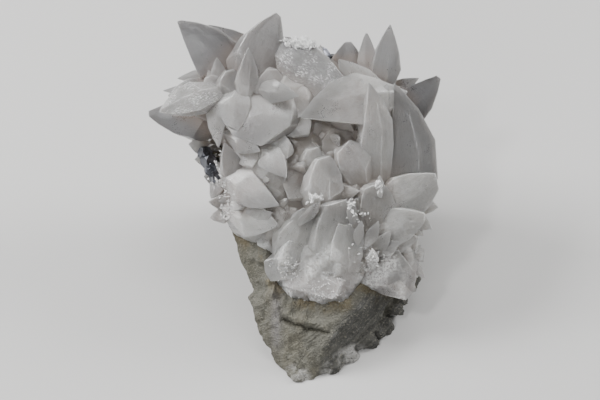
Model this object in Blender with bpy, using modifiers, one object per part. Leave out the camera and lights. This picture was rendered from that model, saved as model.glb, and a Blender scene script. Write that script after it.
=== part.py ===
"""A hand-sized mineral specimen: dogtooth calcite crystals with galena on a broken wedge of grey rock.

The rock lies on its flat underside. Its crystal-covered slope, the show face, leans back and looks up to
the front. Positions on the show face are given as (across, up, out) in millimetres: across to the right, up
along the slope, and out of the face. Zero is the front point of the rock, where it meets the ground.
"""

import math
import random

import bmesh
import bpy
from mathutils import Matrix, Vector, noise

MM = 0.001

# The slope of the show face, and where the front point of the rock stands on the ground.
SHOW_FACE_LOOKS_UP = math.radians(50)
FRONT_POINT = Vector((-0.17, -49.53, -0.9))

# Gaps between the pieces, so that they touch nowhere.
GAP = 0.4


def on_face(across, up, out):
    """A place on the show face, in millimetres of the specimen's own frame."""
    sine, cosine = math.sin(SHOW_FACE_LOOKS_UP), math.cos(SHOW_FACE_LOOKS_UP)
    return Vector((across, up * sine - out * cosine, up * cosine + out * sine)) + FRONT_POINT


def along_face(across, up, out):
    """A direction given on the show face, with length one."""
    return (on_face(across, up, out) - on_face(0, 0, 0)).normalized()


TOWARDS_VIEWER = along_face(0, 0, 1)


def clear_scene():
    for obj in list(bpy.data.objects):
        bpy.data.objects.remove(obj)


def collection(name):
    made = bpy.data.collections.new(name)
    bpy.context.scene.collection.children.link(made)
    return made


def material(name, colour, roughness, metallic=0.0):
    made = bpy.data.materials.new(name)
    made.use_nodes = True
    shader = made.node_tree.nodes["Principled BSDF"]
    shader.inputs["Base Color"].default_value = (*colour, 1)
    shader.inputs["Roughness"].default_value = roughness
    shader.inputs["Metallic"].default_value = metallic
    return made


def add_object(name, shape, target, finish=None):
    """An object in metres from a bmesh in millimetres."""
    bmesh.ops.scale(shape, vec=(MM, MM, MM), verts=shape.verts)
    mesh = bpy.data.meshes.new(name)
    shape.to_mesh(mesh)
    shape.free()
    obj = bpy.data.objects.new(name, mesh)
    target.objects.link(obj)
    if finish:
        mesh.materials.append(finish)
    return obj


def add_helper(name, shape):
    obj = add_object(name, shape, HELPERS)
    obj.hide_render = True
    obj.display_type = "WIRE"
    return obj


def evaluated_bmesh(obj):
    """The object's mesh with its modifiers, as a bmesh in millimetres."""
    bpy.context.view_layer.update()
    graph = bpy.context.evaluated_depsgraph_get()
    mesh = bpy.data.meshes.new_from_object(obj.evaluated_get(graph))
    shape = bmesh.new()
    shape.from_mesh(mesh)
    bpy.data.meshes.remove(mesh)
    bmesh.ops.scale(shape, vec=(1 / MM,) * 3, verts=shape.verts)
    return shape


def cleave(shape, point, normal):
    """Breaks off all that lies beyond a plane, and closes the break with a flat face."""
    everything = shape.verts[:] + shape.edges[:] + shape.faces[:]
    cut = bmesh.ops.bisect_plane(
        shape, geom=everything, plane_co=point, plane_no=normal, clear_outer=True, dist=1e-5
    )
    rim = [e for e in cut["geom_cut"] if isinstance(e, bmesh.types.BMEdge)]
    if rim:
        bmesh.ops.contextual_create(shape, geom=rim)


def keep_largest_body(shape):
    """Drops the chips and inner hollows that a cut leaves beside the outside of the main body."""
    unseen = set(shape.faces)
    skins = []
    while unseen:
        front = [unseen.pop()]
        skin = set(front)
        while front:
            for edge in front.pop().edges:
                if len(edge.link_faces) != 2:
                    continue
                for face in edge.link_faces:
                    if face in unseen:
                        unseen.discard(face)
                        skin.add(face)
                        front.append(face)
        skins.append(skin)
    skins.sort(key=len)
    for skin in skins[:-1]:
        bmesh.ops.delete(shape, geom=list(skin), context="FACES")


# The rock: a wedge of banded grey rock, broken on all sides.

ROCK_BLOCK = 260.0
ROCK_CELL = 1.9
# The share of faces kept when the weathered surface is thinned out.
ROCK_KEPT = 0.165
# How deep the calcite's flat seat lies below the rock's broken surface.
BED_DEPTH = 1.6
ROCK_FACES = (
    ("beige front", (3, 5, 1.0), (-0.22, -0.20, 0.955)),
    ("toe front", (1.3, 0, 0), (0.32, -0.563, 0.76)),
    ("dark right front", (27, 31, 2), (0.671, -0.438, 0.598)),
    ("dark right back", (36, 25, -21), (0.832, -0.393, 0.395)),
    ("left band", (-4.5, 18, 2), (-0.6875, -0.2375, 0.6875)),
    ("left side", (-11, 20, -5), (-0.925, -0.372, -0.1)),
    ("right side", (37, 25, -21), (0.962, -0.05, -0.27)),
    ("crystal slope", (0, 23, 4), (0.0, 0.25, 0.97)),
    ("upper right slope", (34, 60, -8), (0.55, 0.10, 0.83)),
    ("upper left slope", (-24, 70, -3), (-0.50, 0.12, 0.86)),
    ("back", (0, 60, -48.5), (0.04, 0.594, -0.805)),
    ("left back", (-24, 60, -34), (-0.66, 0.32, -0.68)),
    ("right back", (32, 60, -38), (0.60, 0.35, -0.72)),
    ("top break", (0, 99, -18), (0.05, 0.97, 0.25)),
)
BANDING = along_face(-0.60, 0.66, 0.45)
BAND_PITCH = 4.6
BAND_STEP = 0.5
ROUGH_LARGE = 1.4
ROUGH_SMALL = 0.7
# Blunt lumps on the ragged lower edge and the left edge: place on the face, radius.
ROCK_LUMPS = (
    ((1.2, 2.2, -0.9), 2.4),
    ((13.2, 5.6, -2.6), 3.0),
    ((16.6, 8.0, -3.4), 2.4),
    ((19.4, 8.4, -5.6), 3.2),
    ((24.5, 13.6, -8.5), 3.0),
    ((28.0, 17.2, -10.8), 2.6),
    ((30.2, 18.8, -13.2), 3.2),
    ((34.6, 24.0, -14.6), 2.8),
    ((36.2, 28.4, -16.5), 3.8),
    ((38.0, 34.0, -14.0), 4.8),
    ((-10.2, 26.5, -3.0), 3.0),
    ((-9.6, 22.6, -4.0), 2.4),
    ((-18.0, 49.0, -8.0), 4.3),
    ((-27.0, 70.0, -8.5), 4.6),
    ((-31.5, 76.5, -8.0), 3.8),
)


def rock_weathering(place):
    """How far the broken surface stands out at a place, from bands and roughness."""
    place = place - FRONT_POINT
    along = place.dot(BANDING) / BAND_PITCH + 0.5 * noise.noise(place / 13)
    within = along - math.floor(along)
    ledge = min(within / 0.8, (1 - within) / 0.2)
    large = noise.fractal(place / 15, 0.9, 2.1, 3)
    small = noise.noise(place / 3.1 + Vector((7, 3, 1)))
    return BAND_STEP * (ledge - 0.5) + ROUGH_LARGE * large + ROUGH_SMALL * small


def cleaved_block(depth=0.0):
    """A block broken along the planes above, each one moved in by a depth."""
    block = bmesh.new()
    bmesh.ops.create_cube(block, size=ROCK_BLOCK)
    bmesh.ops.translate(block, vec=on_face(0, 60, -20), verts=block.verts)
    for _, point, normal in ROCK_FACES:
        away = along_face(*normal)
        cleave(block, on_face(*point) - away * depth, away)
    bmesh.ops.recalc_face_normals(block, faces=block.faces)
    return block


def rough_rock(cell):
    """The whole rock as a bmesh: the cleaved block with its lumps, then weathered."""
    block = cleaved_block()
    # A little stock below the ground, which the last cut takes off.
    cleave(block, Vector((0, 0, -4)), Vector((0, 0, -1)))
    for place, radius in ROCK_LUMPS:
        bmesh.ops.create_icosphere(
            block, subdivisions=2, radius=radius, matrix=Matrix.Translation(on_face(*place))
        )
    rock = add_helper("rock_block", block)
    grid = rock.modifiers.new("grid", "REMESH")
    grid.mode = "VOXEL"
    grid.voxel_size = cell * MM
    shape = evaluated_bmesh(rock)
    bpy.data.objects.remove(rock)
    shape.normal_update()
    moves = [(v, v.normal * rock_weathering(v.co)) for v in shape.verts]
    for vert, move in moves:
        vert.co += move
    return shape


def make_rock():
    shape = rough_rock(ROCK_CELL)
    rock = add_helper("rock_rough", shape)
    thinner = rock.modifiers.new("fewer faces", "DECIMATE")
    thinner.ratio = ROCK_KEPT
    shape = evaluated_bmesh(rock)
    bpy.data.objects.remove(rock)
    cleave(shape, Vector((0, 0, 0)), Vector((0, 0, -1)))
    keep_largest_body(shape)
    bmesh.ops.triangulate(shape, faces=[f for f in shape.faces if len(f.verts) > 4])
    return shape


def clearance_of(shape, gap):
    """A copy of a solid that stands out from it by the gap on all sides, to cut its neighbour with."""
    grown = shape.copy()
    grown.normal_update()
    moves = [(v, v.normal * gap * min(v.calc_shell_factor(), 2.5)) for v in grown.verts]
    for vert, move in moves:
        vert.co += move
    return grown


# The calcite: a massive milky crust, and the dogtooth crystals that stand out of it.

# Rounded masses that the crystals grow from: centre on the face, half sizes.
CALCITE_MASSES = (
    ((-17, 92, -3), (14, 11, 9)),
    ((15, 90, -4), (19, 12, 9.5)),
    ((0, 100, -7), (18, 9, 8)),
    ((9, 73, -3), (25, 20, 12)),
    ((-12, 64, -4), (13, 18, 12)),
    ((10, 44, -2), (17, 18, 11.5)),
    ((7, 29, 1), (13, 12, 7.5)),
    ((24, 38, -6), (13, 12, 11)),
    ((32, 64, -5), (11, 18, 9)),
    ((-6, 38, -1), (8, 12, 6.5)),
)
MASSES_KEPT = 0.08
GIRDLE_ZIGZAG = 0.22


# The roundness of a crystal's end towards its root, and the size from which a crystal is drawn swollen.
ROOT_SWELL = 1.2
SWOLLEN_FROM = 14.0
EDGE_UNEVEN = 0.07


class Crystal:
    """One calcite scalenohedron: steep faces, a zigzag girdle and a point at each end.

    widest is where the girdle lies, from tip to root. flat is its thickness over its width. turn rolls the
    crystal about its own length, in degrees. bulge swells its outline like a leaf, and bow swells one side
    more than the other. blunt is how much of the tip a small rhombohedral face takes off.
    """

    def __init__(self, tip, root, width, widest=0.6, flat=0.48, turn=0, bulge=1.6, bow=0.0, blunt=0.0):
        tip, root = on_face(*tip), on_face(*root)
        self.axis = (tip - root).normalized()
        self.length = (tip - root).length
        self.widest, self.flat, self.turn = widest, flat, turn
        self.bulge, self.bow, self.blunt = bulge, bow, blunt
        self.width = width
        self.radius = width / 1.9
        side = self.axis.cross(TOWARDS_VIEWER)
        if side.length < 0.25:
            side = self.axis.cross(Vector((0.2, 0.9, 0.4)))
        side.normalize()
        self.frame = Matrix((side.cross(self.axis), side, self.axis)).transposed().to_4x4()
        self.frame.translation = tip - self.axis * widest * self.length

    def outline(self, along, above):
        """Half the width and the sideways shift at a share of the way from the girdle to an end."""
        if above:
            swell = along**self.bulge
            return self.radius * (1 - swell), self.bow * self.radius * (along - swell)
        return self.radius * (1 - along**ROOT_SWELL), 0.0

    def holds(self, place):
        """Whether a place lies inside this crystal."""
        x, y, z = self.frame.inverted() @ place
        end = self.widest * self.length if z > 0 else (self.widest - 1) * self.length
        reach = self.outline(min(z / end, 1), z > 0)[0]
        return (x / self.flat) ** 2 + y**2 < (0.95 * reach) ** 2

    def solid(self):
        """A ball of six gores, drawn out into the crystal."""
        shape = bmesh.new()
        rings = 4 if self.width >= SWOLLEN_FROM else 2
        bmesh.ops.create_uvsphere(shape, u_segments=6, v_segments=rings, radius=1)
        for v in shape.verts:
            down = math.acos(max(-1, min(1, v.co.z))) / math.pi * 2
            gore = math.floor(math.degrees(math.atan2(v.co.y, v.co.x)) / 60 + 0.25)
            along = math.sin(abs(1 - down) * math.pi / 2)
            above = down <= 1
            reach, shift = self.outline(along, above)
            end = self.widest * self.length if above else (self.widest - 1) * self.length
            step = 1 if gore % 2 else -1
            height = end * along + self.radius * GIRDLE_ZIGZAG * step * (1 - along)
            reach *= 1 + EDGE_UNEVEN * step
            angle = math.radians(60 * gore + self.turn)
            v.co = Vector(
                (math.cos(angle) * self.flat * reach, math.sin(angle) * reach + shift, height)
            )
        if self.blunt:
            slope = Vector((0.35 * math.cos(self.turn), 0.35 * math.sin(self.turn), 1)).normalized()
            cleave(shape, Vector((0, 0, self.widest * self.length - self.blunt)), slope)
        shape.normal_update()
        bmesh.ops.recalc_face_normals(shape, faces=shape.faces)
        bmesh.ops.transform(shape, matrix=self.frame, verts=shape.verts)
        return shape


# The large crystals, by where they stand on the show face: tip, root, width, and what sets each one apart.
LARGE_CRYSTALS = {
    "left_horn": dict(
        tip=(-39.3, 121.3, -2), root=(-15, 95, -3), width=18, widest=0.6, turn=14, bow=0.5, blunt=0.8
    ),
    "split_blade": dict(tip=(-29, 120, -8), root=(-6, 104, -9), width=9, widest=0.5, turn=10, bow=-0.3),
    "crown_peak": dict(
        tip=(-4.6, 124, 3), root=(-19, 94, 3), width=19, widest=0.62, turn=20, bow=-0.6, blunt=1.4
    ),
    "front_leaf": dict(tip=(-15, 111.5, 11), root=(-17, 90, 6), width=8, widest=0.55, turn=20, bow=0.2),
    "low_peak": dict(tip=(-8, 109, 8.5), root=(-12, 92, 4), width=10, widest=0.5, turn=20, blunt=1.5),
    "right_leaf": dict(tip=(0.7, 95.6, 20), root=(-15, 97.5, 12), width=5.6, widest=0.5, turn=15),
    "sparkling_blade": dict(
        tip=(22, 93.5, 12), root=(-15, 116, -2), width=19, widest=0.55, flat=0.5, turn=12, bulge=1.5
    ),
    "long_ridge": dict(tip=(15.5, 104, 1), root=(-12, 116, -6), width=10, widest=0.5),
    "broad_face": dict(
        tip=(-5, 79, 15.5), root=(-12, 106, -4), width=21, widest=0.6, flat=0.34, turn=30, bulge=2, blunt=4.2
    ),
    "broad_face_left": dict(
        tip=(-17, 80, 12.5), root=(-20, 104, 4), width=12, widest=0.5, turn=20, bulge=1.7, blunt=2.4, flat=0.4
    ),
    "hanging_leaf": dict(
        tip=(-24.8, 78, 10.5), root=(-25.5, 100, 2), width=7.5, widest=0.55, turn=10, bow=0.4
    ),
    "bright_spindle": dict(
        tip=(-44.8, 90, 9), root=(-18, 99, 5), width=11.5, widest=0.5, flat=0.6, turn=25, bulge=1.9
    ),
    "dark_horn": dict(
        tip=(-50, 90.2, -4), root=(-20, 86, -4), width=15, widest=0.62, turn=12, bow=-0.4, blunt=1.4
    ),
    "left_tooth": dict(tip=(-42.4, 95.4, 0), root=(-25, 102, -1), width=6.5, widest=0.5, blunt=0.6),
    "left_splinter": dict(tip=(-44.2, 97.6, -5), root=(-30, 99, -5), width=4.4),
    "left_needle": dict(tip=(-39.2, 101.6, -3), root=(-23, 103.4, -3), width=5.5),
    "shoulder_block": dict(
        tip=(-21, 105.5, 8), root=(-23, 90, 4), width=10, widest=0.45, turn=30, blunt=1.5
    ),
    "shoulder_chip": dict(tip=(-29, 103, 6), root=(-23, 92, 3), width=9, widest=0.5, blunt=1),
    "shoulder_tooth": dict(tip=(-25.6, 108.5, 5), root=(-24, 94, 3), width=6, widest=0.5),
    "shoulder_left": dict(tip=(-28, 88, 7), root=(-18, 96, 4), width=11, widest=0.5, turn=30, blunt=1.5),
    "smoky_round": dict(
        tip=(18.2, 115.4, -6), root=(15, 92, -5), width=14, widest=0.55, turn=12, bow=0.3, blunt=1.4
    ),
    "pale_wedge": dict(tip=(14.6, 107.9, 6), root=(31, 84, 3), width=15, widest=0.55, turn=10, bow=0.3),
    "short_spire": dict(
        tip=(24.2, 117.6, -5), root=(24.5, 96, -4), width=6.6, widest=0.5, blunt=0.7, bow=0.3
    ),
    "tall_spire": dict(
        tip=(32.1, 119.8, 1), root=(27.5, 88, 2), width=10.5, widest=0.5, turn=18, bow=-0.2, blunt=0.4
    ),
    "right_splinter": dict(tip=(42, 101.9, -4), root=(26, 94, -3), width=6, widest=0.5),
    "right_horn": dict(
        tip=(49.4, 103.2, -3), root=(27, 82, -2), width=14, widest=0.6, turn=12, bow=0.3, blunt=1.5
    ),
    "pillar": dict(
        tip=(24.4, 100, 15), root=(28.5, 38, -5), width=13, widest=0.36, turn=27, bow=0.8, bulge=1.9, flat=0.5
    ),
    "great_right": dict(
        tip=(33.5, 99, 8), root=(39.5, 44, -6), width=21, widest=0.55, flat=0.5, turn=24, bow=0.9, bulge=1.7
    ),
    "behind_pillar": dict(tip=(30.8, 99.5, 9), root=(25, 84, 6), width=8, widest=0.5),
    "right_fan_upper": dict(
        tip=(50, 69.5, 6), root=(20, 54, 3), width=17, widest=0.5, turn=15, bulge=1.6, blunt=3.2
    ),
    "right_fan_lower": dict(
        tip=(45, 56, 9), root=(18, 50, 3), width=14, widest=0.5, turn=20, bulge=1.6, blunt=1.8
    ),
    "right_fan_small": dict(
        tip=(41.8, 48.5, 4), root=(20, 46, 1), width=10, widest=0.5, turn=10, bulge=1.6
    ),
    "pink_column": dict(
        tip=(25.5, 70, 14), root=(26.5, 36, -2), width=14, widest=0.35, turn=30, bulge=1.7, blunt=4.2, flat=0.4
    ),
    "pink_column_side": dict(
        tip=(20.5, 63, 13), root=(22, 38, 0), width=7, widest=0.4, turn=30, bulge=1.7, blunt=1.6
    ),
    "lower_right_lump": dict(
        tip=(41, 39, 1), root=(16, 38, -3), width=17, widest=0.5, turn=30, bulge=1.8, blunt=4
    ),
    "lower_right_block": dict(
        tip=(36, 28, 0), root=(18, 40, -3), width=12, widest=0.5, turn=20, bulge=1.6, blunt=1.5
    ),
    "centre_block": dict(
        tip=(13.5, 64.5, 16.5), root=(9.5, 14, -4), width=19, widest=0.4, flat=0.38, turn=28, bulge=2, blunt=6.5
    ),
    "centre_block_left": dict(
        tip=(6, 61, 14), root=(4, 26, -4), width=10, widest=0.35, turn=24, bulge=1.8, blunt=3
    ),
    "centre_block_right": dict(
        tip=(16, 56, 14), root=(17, 22, -4), width=12, widest=0.4, turn=20, bulge=1.8, blunt=3
    ),
    "comb_a": dict(tip=(8.5, 60.5, 17), root=(-1, 50, 8), width=4, widest=0.4, turn=30, bulge=1.7),
    "comb_b": dict(tip=(6.5, 59, 16.5), root=(-2.5, 49, 8), width=3.4, widest=0.4, turn=30, bulge=1.7),
    "comb_c": dict(tip=(3.6, 58.5, 15.5), root=(-3, 51, 8), width=3.4, widest=0.4, turn=30, bulge=1.7),
    "lower_leaf": dict(
        tip=(-4.6, 59, 14.5), root=(-26, 72, 5), width=12.5, widest=0.55, turn=18, bow=0.5, bulge=1.5
    ),
    "upright_leaf": dict(tip=(-23, 80, 12), root=(-18.5, 62, 4), width=8, widest=0.5, turn=20),
    "frosted_leaf": dict(tip=(-2.4, 68, 15.5), root=(-13, 84, 4), width=10, widest=0.5, turn=20, bow=-0.4),
    "pink_chip": dict(
        tip=(0.6, 76, 14), root=(-12, 82, 3), width=11, widest=0.5, turn=12, bulge=1.6, blunt=2.5
    ),
    "round_tooth": dict(
        tip=(9, 77, 14.5), root=(7, 54, 5), width=11, widest=0.5, turn=30, bulge=1.7, blunt=2.2
    ),
    "hollow_chip": dict(
        tip=(5.5, 82.2, 10), root=(5, 66, 3), width=8, widest=0.5, turn=30, bulge=1.6, blunt=2.5
    ),
    "hollow_wall": dict(
        tip=(14.5, 81, 11.5), root=(25, 60, 3), width=11, widest=0.5, turn=26, bulge=1.6, blunt=2
    ),
    "hollow_left": dict(
        tip=(3.5, 84, 12), root=(-4, 92, 4), width=8, widest=0.5, turn=20, bulge=1.6, blunt=1.5
    ),
    "hollow_roof": dict(
        tip=(2.8, 88.6, 17), root=(36, 98, 5), width=18, widest=0.66, flat=0.36, turn=14, bow=0.7, bulge=1.5
    ),
    "saddle": dict(
        tip=(3, 85.5, 13.5), root=(2, 112, -2), width=17, widest=0.6, flat=0.4, turn=28, bulge=1.8, blunt=3
    ),
    "hollow_floor": dict(
        tip=(12, 70, 11), root=(22, 82, 2), width=11, widest=0.5, turn=30, bulge=1.6, blunt=2
    ),
    "flat_chip": dict(
        tip=(-5, 62, 12.5), root=(12, 70, 4), width=13, widest=0.5, turn=28, bulge=1.6, blunt=3, flat=0.36
    ),
    "low_left_leaf": dict(tip=(-11, 77, 13), root=(-24, 84, 5), width=8, widest=0.5, turn=10),
    "dark_facet": dict(
        tip=(-15, 70, 11), root=(-14, 84, 3), width=10, widest=0.5, turn=26, bulge=1.6, blunt=2
    ),
    "left_swell": dict(tip=(-5, 52.5, 12), root=(-25, 59, 2), width=13, widest=0.5, turn=15, bulge=1.5),
    "left_blue": dict(tip=(-7, 57, 12.5), root=(-22, 52, 3), width=9, widest=0.5, turn=15, bulge=1.5),
    "pink_slope": dict(
        tip=(4, 57, 13), root=(-7, 40, 2), width=12, widest=0.5, turn=28, bulge=1.7, blunt=3
    ),
    "striped_slope": dict(
        tip=(0.5, 50, 10.5), root=(-4, 32, 1), width=11, widest=0.5, turn=28, bulge=1.7, blunt=3
    ),
    "left_flank_a": dict(tip=(-25.5, 72, 6), root=(-12, 62, 0), width=9, widest=0.5, bulge=1.5),
    "left_flank_b": dict(tip=(-14, 46, 7), root=(-3, 52, 1), width=10, widest=0.5, turn=30, bulge=1.5),
    "left_flank_c": dict(tip=(-20.5, 56, 5), root=(-8, 56, 0), width=9, widest=0.5, turn=10, bulge=1.5),
    "left_flank_d": dict(tip=(-8, 33, 6.5), root=(2, 44, 1), width=10, widest=0.5, bulge=1.5, blunt=1),
    "left_low_tooth": dict(tip=(-21, 62, 8), root=(-7, 52, 2), width=10, widest=0.5, turn=30, bulge=1.5),
    "toe_left": dict(
        tip=(-3.5, 26, 7), root=(8, 38, 0), width=13, widest=0.5, turn=30, bulge=1.8, blunt=4.5
    ),
    "toe_middle": dict(
        tip=(7, 19, 8), root=(10, 40, 0), width=17, widest=0.5, turn=30, bulge=1.8, blunt=5.5
    ),
    "toe_right": dict(
        tip=(19, 24, 5), root=(12, 42, 0), width=12, widest=0.5, turn=20, bulge=1.8, blunt=3.5
    ),
    "bright_tooth_right": dict(tip=(28, 69.2, 19), root=(28.6, 60, 10), width=3.2, widest=0.4),
    "bright_tooth_middle": dict(tip=(18.7, 61.6, 18.5), root=(19.6, 50, 10), width=3.6, widest=0.4),
    "bright_tooth_left": dict(tip=(7, 63.6, 18.5), root=(7.6, 55, 11), width=3.4, widest=0.4),
    "bright_tooth_low": dict(tip=(26, 44, 14), root=(26, 36, 6), width=4, widest=0.4),
    "leaf_a": dict(tip=(22.4, 54.4, 15), root=(20, 44, 8), width=3.6, widest=0.5),
    "leaf_b": dict(tip=(28, 54.2, 15), root=(23, 44, 7), width=4.4, widest=0.5),
    "leaf_c": dict(tip=(32, 51, 12), root=(25.5, 42, 6), width=4.4, widest=0.5),
    "leaf_d": dict(tip=(35, 47.5, 9), root=(27, 42, 4), width=5, widest=0.5),
    "back_fan_left": dict(tip=(-34, 108, -16), root=(-12, 96, -10), width=12, widest=0.6, blunt=0.8),
    "back_fan_middle": dict(tip=(1, 112, -21), root=(0, 92, -9), width=12, widest=0.55, turn=20),
    "back_fan_right": dict(tip=(35, 106, -17), root=(18, 92, -8), width=13, widest=0.58, blunt=1),
    "right_back_tooth": dict(tip=(46, 84, -12), root=(26, 78, -8), width=12, widest=0.5),
    "right_low_tooth": dict(tip=(43, 62, -6), root=(24, 58, -4), width=11, widest=0.5, turn=30),
    "left_back_tooth": dict(tip=(-40, 84, -12), root=(-18, 84, -8), width=11, widest=0.55, turn=30),
}

# Smaller crystals that fill the crust between the large ones: how many places are tried, how far apart.
SMALL_CRYSTALS = 80
SMALL_SEED = 11
SMALL_APART = 4.6
SMALL_SWELL = 1.5
TRIES = 60000


def add_masses(shape, subdivisions):
    for centre, half in CALCITE_MASSES:
        new = bmesh.ops.create_icosphere(shape, subdivisions=subdivisions, radius=1)["verts"]
        bmesh.ops.scale(shape, vec=half, verts=new)
        bmesh.ops.rotate(
            shape, matrix=Matrix.Rotation(math.pi / 2 - SHOW_FACE_LOOKS_UP, 3, "X"), verts=new
        )
        bmesh.ops.translate(shape, vec=on_face(*centre), verts=new)


def below_another_mass(place):
    return any(
        sum(((p - c) / h) ** 2 for p, c, h in zip(place, middle, halves)) < 0.85
        for middle, halves in CALCITE_MASSES
    )


def small_crystals():
    """Tip, root and width of each small crystal, spread over the masses and pointing outwards."""
    pick = random.Random(SMALL_SEED)
    found, roots = [], []
    for _ in range(TRIES):
        if len(found) == SMALL_CRYSTALS:
            break
        centre, half = pick.choice(CALCITE_MASSES)
        outward = Vector((pick.gauss(0, 1), pick.gauss(0, 1), pick.gauss(0.35, 1))).normalized()
        if outward.z < -0.45:
            continue
        surface = Vector([c + h * o for c, h, o in zip(centre, half, outward)])
        if below_another_mass(surface) or any((surface - other).length < SMALL_APART for other in roots):
            continue
        roots.append(surface)
        lean = Vector((pick.gauss(0, 0.45), pick.gauss(0, 0.45), pick.gauss(0, 0.3)))
        heading = (Vector([o / h for o, h in zip(outward, half)]).normalized() + lean).normalized()
        length = pick.uniform(9, 16)
        width = length * pick.uniform(0.42, 0.66)
        proud = pick.uniform(0.36, 0.56)
        if surface.y < 38 and surface.x < 18:
            proud *= 0.6
        tip = surface + heading * length * proud
        root = tip - heading * length
        turn, flat = pick.uniform(0, 60), pick.uniform(0.55, 0.85)
        found.append(dict(tip=tip, root=root, width=width, widest=0.5, turn=turn, flat=flat))
    return found


def all_crystals():
    """The large crystals, and the small ones that don't come out through the side of a large one."""
    large = [Crystal(**sizes) for sizes in LARGE_CRYSTALS.values()]
    small = []
    for sizes in small_crystals():
        shoulder = on_face(*Vector(sizes["tip"]).lerp(Vector(sizes["root"]), 0.3))
        if not any(crystal.holds(shoulder) for crystal in large):
            small.append(Crystal(bulge=SMALL_SWELL, **sizes))
    return large + small


def join(obj, helpers):
    """Makes one solid of an object and all the helpers."""
    group = collection("joined to " + obj.name)
    for helper in helpers:
        group.objects.link(helper)
    union = obj.modifiers.new("joined", "BOOLEAN")
    union.operation = "UNION"
    union.solver = "MANIFOLD"
    union.operand_type = "COLLECTION"
    union.collection = group


def cut(obj, cutter):
    difference = obj.modifiers.new("cut by " + cutter.name, "BOOLEAN")
    difference.operation = "DIFFERENCE"
    difference.object = cutter
    difference.solver = "MANIFOLD"


def calcite_solid(name, gap):
    """The masses and all crystals joined, each one grown by the gap."""
    masses = bmesh.new()
    add_masses(masses, subdivisions=2)
    first = add_helper(name + "_masses", masses)
    one_body = first.modifiers.new("one body", "REMESH")
    one_body.mode = "VOXEL"
    one_body.voxel_size = 2.2 * MM
    fewer = first.modifiers.new("fewer faces", "DECIMATE")
    fewer.ratio = MASSES_KEPT
    if gap:
        grown = clearance_of(evaluated_bmesh(first), gap)
        bpy.data.objects.remove(first)
        first = add_helper(name + "_masses", grown)
    crystals = [
        add_helper(f"{name}_{number:03d}", clearance_of(crystal.solid(), gap))
        for number, crystal in enumerate(all_crystals())
    ]
    join(first, crystals)
    joined = add_helper(name, evaluated_bmesh(first))
    for obj in (first, *crystals):
        bpy.data.objects.remove(obj)
    return joined


def finish_piece(obj, name, finish):
    """Turns an object with its modifiers into the named piece."""
    shape = evaluated_bmesh(obj)
    bpy.data.objects.remove(obj)
    keep_largest_body(shape)
    return add_object(name, shape, SPECIMEN, finish)


# The galena: lead-grey cubes with cut corners, set in the edge of the crust. Place on the face, size, turn.

GALENA = {
    "galena_left": (
        ((-29.8, 76.6, -3.2), 3.7, (20, 30, 10)),
        ((-28.6, 74.0, -2.6), 4.0, (50, 15, 35)),
        ((-27.2, 71.2, -2.4), 4.2, (10, 40, 60)),
        ((-25.9, 68.4, -2.2), 3.9, (30, 10, 20)),
        ((-24.8, 65.8, -2.0), 3.4, (15, 55, 40)),
    ),
    "galena_crown": (
        ((9.0, 109.2, -9.0), 4.8, (25, 30, 15)),
        ((12.2, 107.6, -8.6), 4.2, (55, 10, 30)),
        ((5.8, 110.4, -10.6), 3.8, (10, 35, 50)),
    ),
}
CORNER_CUT = 0.78


def galena_cube(place, size, turn, gap=0.0):
    """A cube whose eight corners are cut by octahedron faces, as galena often grows."""
    shape = bmesh.new()
    bmesh.ops.create_cube(shape, size=size + 2 * gap)
    reach = (size / 2 + gap) * math.sqrt(3) * CORNER_CUT
    for x in (-1, 1):
        for y in (-1, 1):
            for z in (-1, 1):
                corner = Vector((x, y, z)).normalized()
                cleave(shape, corner * reach, corner)
    bmesh.ops.recalc_face_normals(shape, faces=shape.faces)
    for angle, around in zip(turn, "XYZ"):
        bmesh.ops.rotate(shape, matrix=Matrix.Rotation(math.radians(angle), 3, around), verts=shape.verts)
    bmesh.ops.translate(shape, vec=on_face(*place), verts=shape.verts)
    return shape


def galena_solid(name, cubes, gap):
    """The cubes of one patch, joined."""
    first, *others = [
        add_helper(f"{name}_{i}", galena_cube(*cube, gap=gap)) for i, cube in enumerate(cubes)
    ]
    join(first, others)
    shape = evaluated_bmesh(first)
    for obj in (first, *others):
        bpy.data.objects.remove(obj)
    return shape


clear_scene()
SPECIMEN = collection("calcite_with_galena")
HELPERS = collection("helpers")

CALCITE_LOOK = material("calcite", (0.62, 0.60, 0.57), 0.3)
ROCK_LOOK = material("grey rock", (0.30, 0.29, 0.25), 0.85)
GALENA_LOOK = material("galena", (0.16, 0.17, 0.19), 0.3, 0.9)

rock = add_helper("rock", make_rock())
bed = add_helper("bed", cleaved_block(BED_DEPTH))
deeper_bed = add_helper("deeper_bed", cleaved_block(BED_DEPTH + GAP))

galena_clearances = []
for patch, cubes in GALENA.items():
    add_object(patch, galena_solid(patch, cubes, 0.0), SPECIMEN, GALENA_LOOK)
    galena_clearances.append(add_helper(patch + "_clearance", galena_solid(patch, cubes, GAP)))

# The calcite sits on the rock's flat seat and leaves room for the galena.
calcite = calcite_solid("calcite", 0.0)
cut(calcite, bed)
for clearance in galena_clearances:
    cut(calcite, clearance)
finish_piece(calcite, "calcite_crystals", CALCITE_LOOK)

# The rock leaves room for the calcite above its seat, and for the galena.
calcite_clearance = calcite_solid("calcite_clearance", GAP)
cut(calcite_clearance, deeper_bed)
cut(rock, calcite_clearance)
for clearance in galena_clearances:
    cut(rock, clearance)
finish_piece(rock, "matrix_rock", ROCK_LOOK)

for helper in list(HELPERS.objects):
    bpy.data.objects.remove(helper)
for group in list(bpy.data.collections):
    if group != SPECIMEN:
        bpy.data.collections.remove(group)
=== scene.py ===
"""The looks of a calcite and galena specimen: dogtooth crystals on a broken wedge of grey rock."""

import math
import random

import bmesh
import bpy
import numpy as np
from mathutils import Matrix, Vector, noise
from mathutils.bvhtree import BVHTree


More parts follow.
